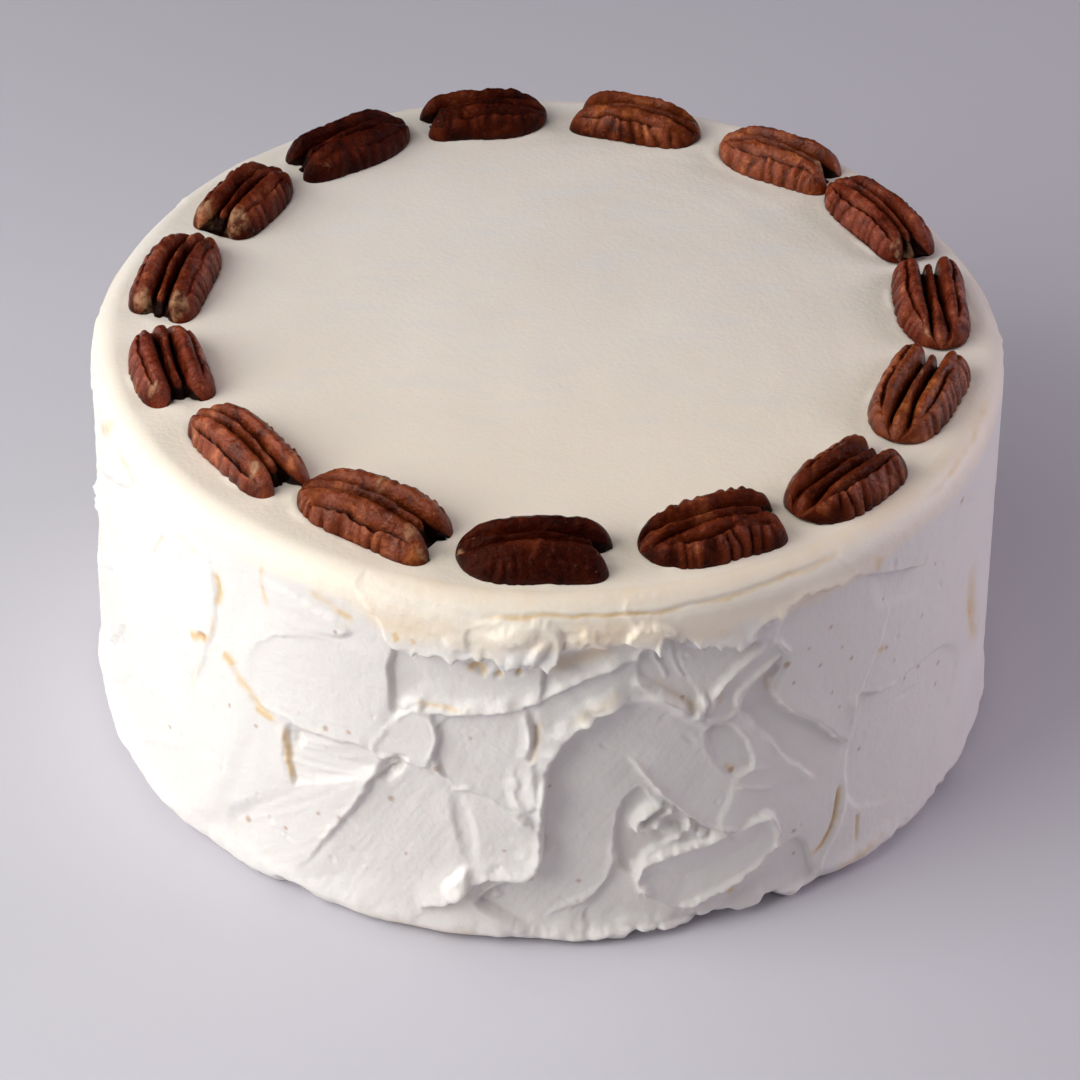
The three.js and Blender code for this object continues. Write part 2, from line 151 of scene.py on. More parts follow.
def grain(x, y, z, cell, seed):
    """A smooth field in space, about -1 to 1, with bumps of about the cell's size and no visible lattice."""
    place = np.tensordot(SLANT, np.stack(np.broadcast_arrays(x, y, z)), 1) / cell
    corner = np.floor(place).astype(np.int64)
    inside = place - corner
    blend = inside**3 * (inside * (inside * 6 - 15) + 10)
    total = 0
    for number in range(8):
        bits = np.array([number & 1, number >> 1 & 1, number >> 2])
        cells = [corner[axis] + bits[axis] for axis in range(3)]
        slope = sum(hashed(cells, seed, axis) * (inside[axis] - bits[axis]) for axis in range(3))
        weight = 1
        for axis in range(3):
            weight = weight * (blend[axis] if bits[axis] else 1 - blend[axis])
        total = total + slope * weight
    return 1.6 * total


def side_grain(u, z, cell, seed):
    """The same field on the side, which closes on itself all the way round."""
    turn = u / BASE_RADIUS
    return grain(BASE_RADIUS * np.cos(turn), BASE_RADIUS * np.sin(turn), z, cell, seed)


# ---- lines drawn on the unrolled side

def smooth_line(points, closed=False, steps=6):
    """Points (angle, height) as one smooth line, in mm, through all of them."""
    knots = np.array(points, float)
    knots[:, 0] = along(knots[:, 0])
    if closed:
        before, after, beyond = (np.roll(knots, shift, 0) for shift in (1, -1, -2))
    else:
        before = np.vstack([2 * knots[0] - knots[1], knots])
        after = knots[1:]
        beyond = np.vstack([knots[2:], 2 * knots[-1] - knots[-2]])
    t = np.linspace(0, 1, steps, endpoint=False)[:, None]
    pieces = []
    for a, b, c, d in zip(before, knots, after, beyond):
        rise = 2 * b + (c - a) * t + (2 * a - 5 * b + 4 * c - d) * t**2
        pieces.append(0.5 * (rise + (3 * b - a - 3 * c + d) * t**3))
    pieces.append(pieces[0][:1] if closed else knots[-1:])
    return np.vstack(pieces)


def nearest(line, u, z):
    """For each spot: its share along the line, and its distance, positive on the line's left."""
    best = np.full(u.shape, np.inf)
    share, signed = np.zeros((2, *u.shape))
    run = np.diff(line, axis=0)
    length = np.hypot(run[:, 0], run[:, 1]) + 1e-9
    travelled = np.concatenate([[0], np.cumsum(length)])
    for k in range(len(run)):
        off_u, off_z = u - line[k, 0], z - line[k, 1]
        part = np.clip((off_u * run[k, 0] + off_z * run[k, 1]) / length[k] ** 2, 0, 1)
        distance = np.hypot(off_u - part * run[k, 0], off_z - part * run[k, 1])
        closer = distance < best
        best = np.where(closer, distance, best)
        share = np.where(closer, (travelled[k] + part * length[k]) / travelled[-1], share)
        side = np.sign(run[k, 0] * off_z - run[k, 1] * off_u)
        signed = np.where(closer, side * distance, signed)
    return share, signed


def is_inside(line, u, z):
    inside = np.zeros(u.shape, bool)
    for (u0, z0), (u1, z1) in zip(line[:-1], line[1:]):
        if z0 != z1:
            inside ^= ((z0 > z) != (z1 > z)) & (u < (u1 - u0) * (z - z0) / (z1 - z0) + u0)
    return inside


# ---- what the palette knife leaves

TEARS = [(7, 0.9), (3.2, 0.55), (1.6, 0.32), (0.9, 0.15)]  # bump size and push of the unevenness of edges


def broken(u, z, seed):
    """How thick a pushed-up edge is from place to place."""
    return np.maximum(0.12, 0.8 + 0.5 * side_grain(u, z, 7, seed) + 0.4 * side_grain(u, z, 3.2, seed + 1))


class Side:
    """The unrolled side as a fine grid: how far the frosting stands out, slides, sags and takes colour. Lines
    are lists of (angle, height); rag: how ragged an edge is."""

    def __init__(self, u, z):
        self.u, self.z = u, z
        shape = len(z), len(u)
        self.depth, self.slide, self.sag = np.zeros((3, *shape))  # mm outward, sideways and upward
        self.butter, self.crumb = np.zeros((2, *shape))  # 1 where yellow shows, and 1 on a brown crumb

    def window(self, line, reach, rag):
        """The grid near a line: its index, its spots, and the spots pushed about, to make edges ragged.
        The seam at the back is bridged."""
        low, high = line.min(0) - reach, line.max(0) + reach
        rows = np.flatnonzero((self.z >= low[1]) & (self.z <= high[1]))
        turns = np.concatenate([self.u, self.u + GIRTH])
        columns = np.flatnonzero((turns >= low[0]) & (turns <= high[0]))
        u, z = np.meshgrid(turns[columns], self.z[rows])
        push_u = sum(push * side_grain(u, z, cell, 11 + k) for k, (cell, push) in enumerate(TEARS))
        push_z = sum(push * side_grain(u, z, cell, 16 + k) for k, (cell, push) in enumerate(TEARS))
        return np.ix_(rows, columns % len(self.u)), u, z, u + rag * push_u, z + rag * push_z

    def around(self, angle, height, reach, rag):
        """The grid near a spot: its index, its spots, and how far right of it and above it each is."""
        middle = along(angle)
        index, u, z, torn_u, torn_z = self.window(np.array([[middle, height]]), reach, rag)
        return index, u, z, torn_u - middle, torn_z - height

    def facet(self, outline, level, lean=(0, 0), hollow=0.3, soft=0.5, rag=0.65, lip=0.0, streaks=None):
        """A pass of the knife's flat face. lean: rise over 10 mm to the right and upward; hollow: dip of its
        middle; soft: half width of its edge's slope; lip: height of the edge; streaks: heading and depth."""
        line = smooth_line(outline, closed=True)
        index, u, z, torn_u, torn_z = self.window(line, 6, rag)
        _, signed = nearest(line, torn_u, torn_z)
        inward = np.where(is_inside(line, torn_u, torn_z), 1, -1) * np.abs(signed)
        middle = (line.min(0) + line.max(0)) / 2
        target = level + (lean[0] * (u - middle[0]) + lean[1] * (z - middle[1])) / 10
        target = target - hollow * smooth(0, 9, inward)
        target = target + 0.16 * side_grain(u, z, 17, 21) + 0.05 * side_grain(u, z, 6, 22)
        if streaks:
            forward, across = turned(u, z, streaks[0])
            target = target + streaks[1] * grain(forward / 12, across, 0, 1.3, 23)
        share = smooth(-soft, soft, inward)
        depth = self.depth[index] * (1 - share) + target * share
        self.depth[index] = depth + lip * bell(inward, 0.7) * broken(u, z, 24)

    def ridge(self, path, height, width=0.6, step=0.0, fade=6.0, rag=0.5, hang=(0, 0), ends=0.15):
        """A ridge pushed up along a line, or a crease where height is negative. width: of both slopes, or of
        the left and the right one; step: how much its left stands over its right, and fade: how far; hang:
        how far the crest slides right and down; ends: share of the length over which an end dies away."""
        line = smooth_line(path)
        left, right = width if isinstance(width, tuple) else (width, width)
        reach = max(4 * left, 4 * right, 2.2 * fade if step else 0)
        index, u, z, torn_u, torn_z = self.window(line, reach, rag)
        share, signed = nearest(line, torn_u, torn_z)
        fit = within(0, ends, 1 - ends, 1, share)
        distance = np.abs(signed)
        crest = bell(distance, np.where(signed > 0, left, right), 1.8) * fit
        thick = broken(u, z, 31)
        self.depth[index] += height * thick * crest
        self.depth[index] += 0.5 * step * np.tanh(signed / (0.5 * right)) * bell(distance, fade, 1.5) * fit
        self.slide[index] += hang[0] * crest * thick
        self.sag[index] -= hang[1] * crest * thick

    def lump(self, angle, height, half_length, half_width, rise, turn=0.0, rough=0.4, rag=0.8, sag=0.0):
        """A blob left standing, or a pit where rise is negative."""
        index, u, z, right, up = self.around(angle, height, 1.8 * max(half_length, half_width), rag)
        forward, across = turned(right, up, turn)
        share = 1 - smooth(0.35, 1.2, np.hypot(forward / half_length, across / half_width))
        knobbly = 1 + rough * side_grain(u, z, 1.6, 41) + 0.8 * rough * side_grain(u, z, 3.2, 42)
        self.depth[index] += rise * share * knobbly
        self.sag[index] -= sag * share

    def lumps(self, spots, stretch, rise, turn, rough, rag, sag):
        """Blobs alike, each an angle, a height and a half width."""
        for angle, height, size in spots:
            self.lump(angle, height, stretch * size, size, rise, turn, rough, rag, sag)

    def stain(self, path, strength, width=0.8, patch=0.5):
        """Yellow frosting that shows along a line. patch: how broken the colour is."""
        line = smooth_line(path)
        index, u, z, torn_u, torn_z = self.window(line, 4 * width, 0.6)
        share, signed = nearest(line, torn_u, torn_z)
        even = 1 - patch * smooth(0.3, -0.3, side_grain(u, z, 4, 33))
        yellow = strength * bell(signed, width) * within(0, 0.2, 0.8, 1, share) * even
        self.butter[index] = np.maximum(self.butter[index], yellow)

    def brown(self, angle, height, size):
        """A brown crumb of the cake."""
        index, _, _, right, up = self.around(angle, height, 2 * size, 0.5)
        shown = smooth(0.95 * size, 0.35 * size, np.hypot(right, up))
        self.crumb[index] = np.maximum(self.crumb[index], shown)


def left_strokes(side):
    """The left of the front, lit full on: long flat passes with a crease here and there."""
    facet, ridge, lump = side.facet, side.ridge, side.lump
    facet([(-150, 8), (-150, 90), (-128, 90), (-126, 60), (-130, 30), (-136, 8)], 0.7, (0.1, -0.05), 0.2, 3)
    facet([(-143, 70), (-141.5, 80), (-137, 85), (-133.3, 84), (-132.5, 70), (-134, 60), (-137, 48),
        (-141, 54)], 0.75, (0.3, 0), soft=1.4, lip=0.15)
    facet([(-131, 62), (-131, 82), (-126, 86.5), (-119, 85), (-113, 81), (-119, 76.5), (-126, 69)], 0.8,
        (0.2, -0.1), soft=0.9)
    facet([(-127, 60), (-125, 70), (-119, 76.5), (-112, 78), (-107.6, 76), (-107.6, 66), (-108.5, 60),
        (-110, 52), (-118, 51), (-126, 53)], 0.75, (0.1, -0.1), 0.1, 2.2, streaks=(8, 0.05))
    ridge([(-126.5, 67), (-123, 73), (-118, 77), (-113, 78.2)], 0.3, 0.6, rag=0.8)
    facet([(-121, 34), (-121.5, 48), (-118, 50), (-110, 50), (-108.5, 45), (-114, 38)], 0.2, (0.1, -0.3),
        0.2, 0.8, streaks=(12, 0.25))
    ridge([(-126, 53), (-120, 51.2), (-113, 51.4), (-109.5, 53)], 0.35, 0.8, rag=0.9)
    ridge([(-135.2, 60), (-135.6, 54), (-137, 46), (-138.5, 36)], -0.3, 0.5, 0.4, 3)
    ridge([(-131.8, 81), (-131.5, 77), (-132, 73)], -0.35, 0.6)
    ridge([(-130.5, 59), (-126.5, 52.5), (-122.5, 49.5)], -0.3, 0.6, -0.5, 3)
    ridge([(-145, 72), (-143.3, 77.5), (-142, 80.5)], -0.3, 0.6)
    ridge([(-154, 26), (-150, 30), (-146, 33)], 0.25, 1)
    ridge([(-150, 14), (-144, 20), (-140, 24)], 0.25, 1.2)
    ridge([(-131.5, 26), (-131.3, 33)], -0.25, 0.6)
    lump(-134.6, 61.3, 1.7, 1.2, -0.7, 30)


def middle_strokes(side):
    """The middle of the front: a fan of facets, the leaf under it and the long curved ridge on its right."""
    facet, ridge, lump = side.facet, side.ridge, side.lump
    # the wide hollow sweep, the band between its top and the ridge above, and the sunk wedge over that ridge
    facet([(-97, 12), (-91, 22), (-89.8, 36), (-89.5, 50), (-87.5, 60), (-83, 66), (-78, 68), (-73, 62),
        (-69, 55), (-66, 44), (-69, 28), (-76, 12), (-83, 3), (-90, 4)], -1.5, (0.28, 0.1), 0.5, 1,
        streaks=(55, 0.06))
    facet([(-90, 62), (-90, 69), (-85, 75), (-80, 79), (-77, 76), (-74, 70), (-78, 69), (-83, 67),
        (-87.5, 61)], -0.5, (-0.5, -0.6), soft=0.8, streaks=(30, 0.06))
    facet([(-90.5, 71), (-90, 78), (-88, 82), (-83, 83.5), (-79, 84), (-79.5, 80), (-85, 75.5)], -1.2,
        (0.4, -0.5), soft=1.4)
    # the sunk facet under the front of the rim
    facet([(-107.5, 63), (-107.5, 79.5), (-103, 80), (-97, 79), (-90.5, 78), (-90.5, 70), (-96, 66.5),
        (-104, 64.5)], -0.6, (0.25, -0.3), 0.6, 0.7, streaks=(5, 0.06))
    # the leaf at the lower left and the fan beside it
    facet([(-131, 13), (-124, 27), (-118, 36), (-113, 40.5), (-108, 46), (-107, 38), (-110, 30), (-113, 20),
        (-118, 6), (-126, 7)], 0.6, (0.6, 0), 0.1, 1.8, streaks=(40, 0.08))
    ridge([(-122, 31), (-117, 36.5), (-111, 42)], 0.25, 0.5)
    facet([(-109.5, 43.5), (-105, 49), (-101, 46), (-99, 40), (-97, 22), (-100, 14), (-104, 6), (-108, 7.5),
        (-113, 4), (-120.5, 5), (-119, 12), (-116, 21.5), (-113, 31), (-111, 38)], -0.1, (-0.05, -0.15),
        0.6, 0.6, 0.5, streaks=(60, 0.06))
    ridge([(-117, 19), (-113, 31), (-111, 38), (-109.6, 44)], 0.35, (0.8, 0.4), rag=0.7)
    facet([(-102, 50), (-102.4, 60), (-99, 65), (-96, 66.5), (-92.3, 68), (-90.5, 60), (-90.8, 50),
        (-91, 40), (-96, 43), (-100, 44.5)], 0.1, (0.5, 0.05), 0.2, streaks=(75, 0.05))
    facet([(-109.8, 50), (-108.5, 57), (-105.5, 64), (-103, 63.8), (-102, 58), (-102.8, 52), (-104, 48.5),
        (-107, 50)], 0.9, (0.4, -0.1), 0.2, lip=0.4)
    facet([(-100.6, 43.5), (-97, 43), (-94, 41), (-91, 37), (-89.9, 34), (-89.9, 26), (-91.5, 22),
        (-96, 19.8), (-98, 23), (-99.6, 34)], 0.3, (1, 0.1), 0.15, 0.8, 0.8, streaks=(70, 0.05))
    lump(-98.8, 33, 10, 2.6, -0.7, 102, 0, 0.4)
    ridge([(-120.6, 32), (-121.3, 41), (-121.8, 49.5)], 0.2, 0.5, 0.9, 3)
    lump(-120, 46.5, 2.8, 1.6, -0.7, 80, 0.1)
    # the ridge along the top of the fan
    ridge([(-107.5, 61), (-105.5, 64.6), (-102, 64.8), (-99, 65.3), (-95, 67.2), (-90, 70.6), (-85, 75.5),
        (-79.5, 80)], 1.7, (2, 0.6), rag=0.7, ends=0.1)
    ridge([(-104.5, 66.4), (-102, 66.2), (-99.5, 66.4)], -0.4, 0.4)
    # the long curved ridge, the rolled edge beside it and the torn flap under it
    ridge([(-90.2, 34), (-90.2, 42), (-89.8, 50), (-88.8, 56), (-86.7, 62), (-83.5, 66.5), (-79, 70.5)],
        2.5, (3.2, 0.8), rag=0.55, hang=(0.4, 0))
    ridge([(-90, 33), (-90, 42), (-89.6, 50), (-88.6, 56), (-86.5, 62), (-83.5, 66)], 1.4, (0.6, 0.4),
        rag=0.45, hang=(0.5, 0), ends=0.08)
    ridge([(-92, 53), (-91.4, 59), (-91.6, 64), (-92.8, 68.5)], 0.9, (1.2, 0.5), rag=0.9, ends=0.35)
    ridge([(-91.4, 37), (-92.6, 46), (-92.8, 53)], 0.7, (1.2, 0.5), rag=0.9, ends=0.35)
    ridge([(-90.9, 64), (-90.6, 59), (-91.1, 53)], -1, 0.5)
    ridge([(-104, 7.5), (-101, 11.5), (-98.6, 16.5), (-96, 19.3), (-92.5, 20.8), (-90.6, 23), (-89.8, 28),
        (-89.9, 35)], 1.3, (1, 0.5), 2.2, 4, 1, (0.7, 0.6))
    ridge([(-100.6, 43), (-98.5, 44.2), (-96.5, 42.5)], 0.6, 0.5)
    ridge([(-96, 42), (-93.5, 39.6), (-91.3, 36)], 0.6, 0.5)
    lump(-99.5, 17.5, 5, 2.2, 2, 62, 0.2)
    lump(-107.7, 46.8, 5, 2.3, -2.3, 60, 0.1)
    lump(-95, 13, 1.6, 1.2, 0.8, 30)
    lump(-86, 11, 7, 1, 0.4, 35)
    # frosting pushed over the rim, its lower edge ragged
    facet([(-110, 95), (-109, 86), (-107.5, 80.8), (-103, 81.4), (-99.5, 80.6), (-96.5, 82.5), (-92, 80.5),
        (-88, 84), (-80, 85), (-74, 88), (-74, 95)], 0.2, (-0.13, -2.2), 0, 0.5, 1.1, 0.25, (-6, 0.22))
    ridge([(-108, 81.4), (-105, 80.6), (-102.5, 81.8), (-99.5, 81), (-96.5, 82.6), (-93.5, 81)], 0.6,
        (1.3, 0.55), rag=1.2, hang=(0, 0.6), ends=0.08)
    facet([(-99, 86.2), (-97, 90.5), (-92.5, 91.8), (-88.6, 89), (-88.2, 85), (-89.6, 79), (-92, 81.6),
        (-94.6, 82.6), (-97.5, 83.8)], 1.2, (0.7, -1), -1.2, 0.6, 1.1, 0.2)
    lump(-93.4, 87.6, 5.5, 2.8, 0.9, 20, 0.1, 0.7)
    lump(-90.6, 84, 4, 1.8, 0.9, 55, 0.1, 0.7)
    ridge([(-88.3, 86), (-89, 82), (-90.2, 79)], 0.7, 0.6, rag=1.2, hang=(0.5, 0.5), ends=0.3)
    lump(-100, 84.6, 3.4, 1.6, 0.7, -10, 0.2, sag=0.5)
    side.lumps([(-104.9, 80.8, 0.7), (-100.6, 80.4, 1.5), (-97.2, 82.2, 0.8), (-93.4, 80.9, 1.9),
        (-91.2, 79.8, 1.1)], 1.6, 0.6, 70, 0.1, 0.8, 0.7)
    lump(-85, 86.6, 6.5, 1.8, 0.9, -3, 0.2, 1.3)
    lump(-97.3, 77.8, 2.8, 2.1, -1.1, 70, rag=1.4)
    lump(-95.2, 76.2, 1.8, 0.8, -0.8, 75, rag=1.2)
    lump(-92.7, 77, 1.9, 0.8, -0.8, 80, rag=1.2)
    lump(-94, 79.3, 2.4, 1, 0.8, 60, rag=1.2)


def right_strokes(side):
    """The right of the front: the folded edge of the top, a bundle of thin ridges, and a torn leaf below."""
    facet, ridge, lump = side.facet, side.ridge, side.lump
    facet([(-60, 8), (-58, 90), (-30, 92), (-2, 92), (-2, 8)], 0, (0.03, -0.06), 0.2, 4)
    facet([(-62, 76), (-60, 84), (-53, 86), (-47, 85), (-44, 70), (-48, 54), (-50, 40), (-55, 49),
        (-59, 57), (-61, 62), (-60, 72)], 0.1, (-0.1, -0.2), 0.1)
    facet([(-66, 60), (-64, 54), (-60, 43), (-55.5, 34), (-52, 37), (-50.6, 40.5), (-55, 49.5), (-59, 57),
        (-61, 61), (-62, 66), (-61, 72), (-64, 69)], -0.9, (0.45, -0.12), 0.3, 0.5, 0.9,
        streaks=(-55, 0.07))
    facet([(-79, 79), (-77.5, 83), (-74, 84), (-72, 82), (-73, 76), (-71, 66), (-70.7, 62.5), (-74, 67),
        (-78, 72)], -1.6, (0.3, -0.4), 0.4)
    facet([(-74, 82), (-70, 81), (-66, 79.5), (-64, 79), (-66, 74), (-69, 69), (-70, 63), (-71.5, 68)],
        -0.8, (0.4, -0.6), 0.3, 0.4, streaks=(40, 0.05))
    facet([(-78, 86.5), (-74, 84), (-70, 81.8), (-66, 80.3), (-64.5, 83), (-61, 86), (-57, 87.8), (-50, 87),
        (-42, 89), (-42, 95), (-78, 95)], 0.1, (0, -2), 0, 0.4, 0.9, 0.3)
    ridge([(-75, 84.6), (-70, 82), (-66, 80.6), (-64.5, 83), (-61, 86), (-57, 87.8), (-50, 86.8)], 0.6,
        (1.2, 0.45), rag=1.1, hang=(0, 0.6))
    side.lumps([(-74, 83.6, 1), (-71.8, 82.2, 1.6), (-69.5, 81.4, 0.8), (-67, 80.4, 1.3), (-64.8, 81.6, 1),
        (-61.6, 85.6, 0.8)], 1.4, 0.6, 60, 0.3, 1.3, 0.6)
    facet([(-80.6, 86), (-79, 88.6), (-76, 88.4), (-74.6, 86), (-76.4, 84.6), (-76.6, 81.6), (-78, 82.6),
        (-79.4, 84)], 1.9, (0.7, -0.8), -1, 0.5, 1.5, 0.2)
    lump(-76.6, 83.4, 2.4, 1.2, 0.9, 75, 0.2, sag=0.6)
    ridge([(-77.6, 82), (-76.6, 78), (-75, 73)], 0.8, 0.45)
    ridge([(-75, 83), (-74.5, 78), (-73, 72.5)], 0.7, 0.45)
    ridge([(-71, 61.5), (-74.5, 67), (-77.5, 72), (-79.5, 75)], 1.3, (1.3, 0.7), rag=0.8)
    lump(-71, 64.5, 3.4, 1.4, 1.8, 75, 0.3)
    # thin ridges, each the edge of a pass
    ridge([(-70, 62), (-69.3, 67.5), (-67, 72.5), (-62.8, 78.3)], 1.3, (1, 0.6))
    ridge([(-62.8, 78.7), (-61, 76), (-59.8, 72.3)], 1.5, 0.55)
    ridge([(-66.3, 61), (-66.4, 66), (-64.3, 70), (-60.5, 74)], 1.1, (0.8, 0.5))
    ridge([(-70.3, 61.5), (-68, 60), (-66.3, 61.5)], 0.8, 0.5)
    ridge([(-54.5, 32.5), (-57, 37.5), (-59.5, 43), (-61.5, 48.5), (-64, 55), (-66.5, 61)], 1.3,
        (1.1, 0.55))
    ridge([(-61.5, 61), (-58.5, 56), (-55, 50), (-51.5, 43), (-50, 39.5)], 0.4, 0.5, 0.9, 5, 0.9)
    ridge([(-47.2, 27), (-47.6, 36), (-48.6, 42), (-49.4, 48), (-49.6, 54)], 1.1, (1.8, 0.9))
    ridge([(-48.8, 52.5), (-46, 49.6), (-41.5, 48.3)], 0.7, 0.8)
    facet([(-70, 58), (-67, 57.5), (-64.5, 49), (-64, 44), (-67, 43.5), (-69.5, 50)], -1.3, (0.5, 0), 0.3,
        0.5, lip=0.3)
    ridge([(-66, 39.5), (-63.5, 37.5), (-61, 36)], 0.8, 0.5)
    ridge([(-65.5, 44), (-63, 43), (-61, 41.5)], 0.5, 0.5)
    ridge([(-80, 53), (-77, 46), (-74.5, 39.5), (-71, 32.5), (-67, 28), (-64, 27.5)], 1.2, (0.8, 0.6), 1.3,
        6)
    facet([(-80, 20), (-80.8, 30), (-80, 40), (-78, 43), (-76.5, 40), (-74, 35), (-72, 31), (-74, 27),
        (-77, 24), (-78, 18)], -3.3, (0.2, 0), 0.2, 0.4, lip=0.2)
    # the curl and the torn leaf under it
    facet([(-82, 4), (-83, 12), (-80.5, 20), (-78, 17), (-75, 11), (-72, 8.5), (-66, 12), (-63, 16),
        (-57, 18), (-55, 10), (-56, 4)], -1.8, (0.3, 0), 0.2)
    facet([(-78, 17), (-76.5, 23), (-72, 25.5), (-65, 28), (-62, 29.5), (-60.4, 25), (-61, 19.5), (-64, 15),
        (-69, 10.5), (-73, 8.5), (-76, 12)], 0.4, (0.5, 0.1), 0.9, 0.35, 0.9)
    ridge([(-65, 28.2), (-72, 25.6), (-76.5, 23), (-78, 17.5), (-76, 12), (-73, 8.8)], 1.3, (1, 0.55),
        rag=0.7, hang=(-0.3, 0))
    ridge([(-73, 8.6), (-69, 10.6), (-64, 15), (-61, 19.5), (-60.4, 25), (-62, 29.3), (-65, 28.2)], 1.5,
        (0.8, 0.45), rag=0.9, hang=(0.3, 0.2), ends=0.05)
    ridge([(-86.5, 8.5), (-84, 12), (-82, 16.5), (-81, 22), (-80.7, 30)], 0.5, (0.9, 0.5), 0.9, 4)
    ridge([(-74.8, 39), (-76.8, 36.8), (-78.2, 33.4), (-77.6, 30)], 3.4, (1.7, 1.2), rag=0.8, hang=(0, 0.5),
        ends=0.2)
    ridge([(-73.6, 36.4), (-75.2, 33.6), (-75.4, 30)], 2.8, (1.5, 0.9), rag=0.8, ends=0.25)
    lump(-76.4, 31.4, 3, 1.8, 1.6, 20, 0.2)
    side.lumps([(-73.5, 29, 1.7), (-71.6, 30.2, 1.3), (-70, 28.4, 1.2)], 1.6, 1.2, -35, 0.3, 1.2, 0)
    lump(-78, 20, 1.3, 2.4, 0.9)
    lump(-77.3, 14, 1.2, 2, 0.8)
    ridge([(-53, 3), (-53.5, 8), (-51.5, 14), (-50, 22), (-50, 31)], 0.7, 0.8)
    ridge([(-51, 29), (-51.3, 20), (-52.6, 14), (-55, 10.5)], -0.8, 0.5)
    ridge([(-47.5, 16.5), (-47.4, 8)], -0.7, 0.5)
    # the calm right end
    facet([(-49, 22), (-49.3, 44), (-48.5, 51.5), (-45, 48.8), (-39, 47.6), (-31, 46), (-26, 36), (-30, 22),
        (-40, 14)], -0.8, (0.15, -0.3), 0.2, 0.9)
    facet([(-45, 74), (-47, 83), (-42, 80), (-38, 78), (-34, 83), (-28, 85), (-26, 78), (-36, 70)], -0.7,
        (0, 0.2), 0.2, 1.4)
    facet([(-50, 86.8), (-47, 84), (-42, 80.3), (-38.5, 77.8), (-37, 80.5), (-33, 84.5), (-27, 86.5),
        (-22, 89), (-22, 95), (-50, 95)], 0.2, (0, -1.2), 0, 0.6, lip=0.25)
    ridge([(-24, 60), (-22.5, 48), (-20.5, 38), (-17, 30)], -0.6, 1.3)
    # the edge of the sheet spread over the top
    ridge([(-98, 91.8), (-90, 92.4), (-84, 92.1), (-77, 91.9), (-70, 92.5), (-60, 93.2), (-50, 93.8)],
        -0.45, 0.4, 0.5, 2, 0.25)
    ridge([(-38, 92.5), (-30, 93.4), (-22, 94), (-12, 94)], -0.35, 0.5, rag=0.3)


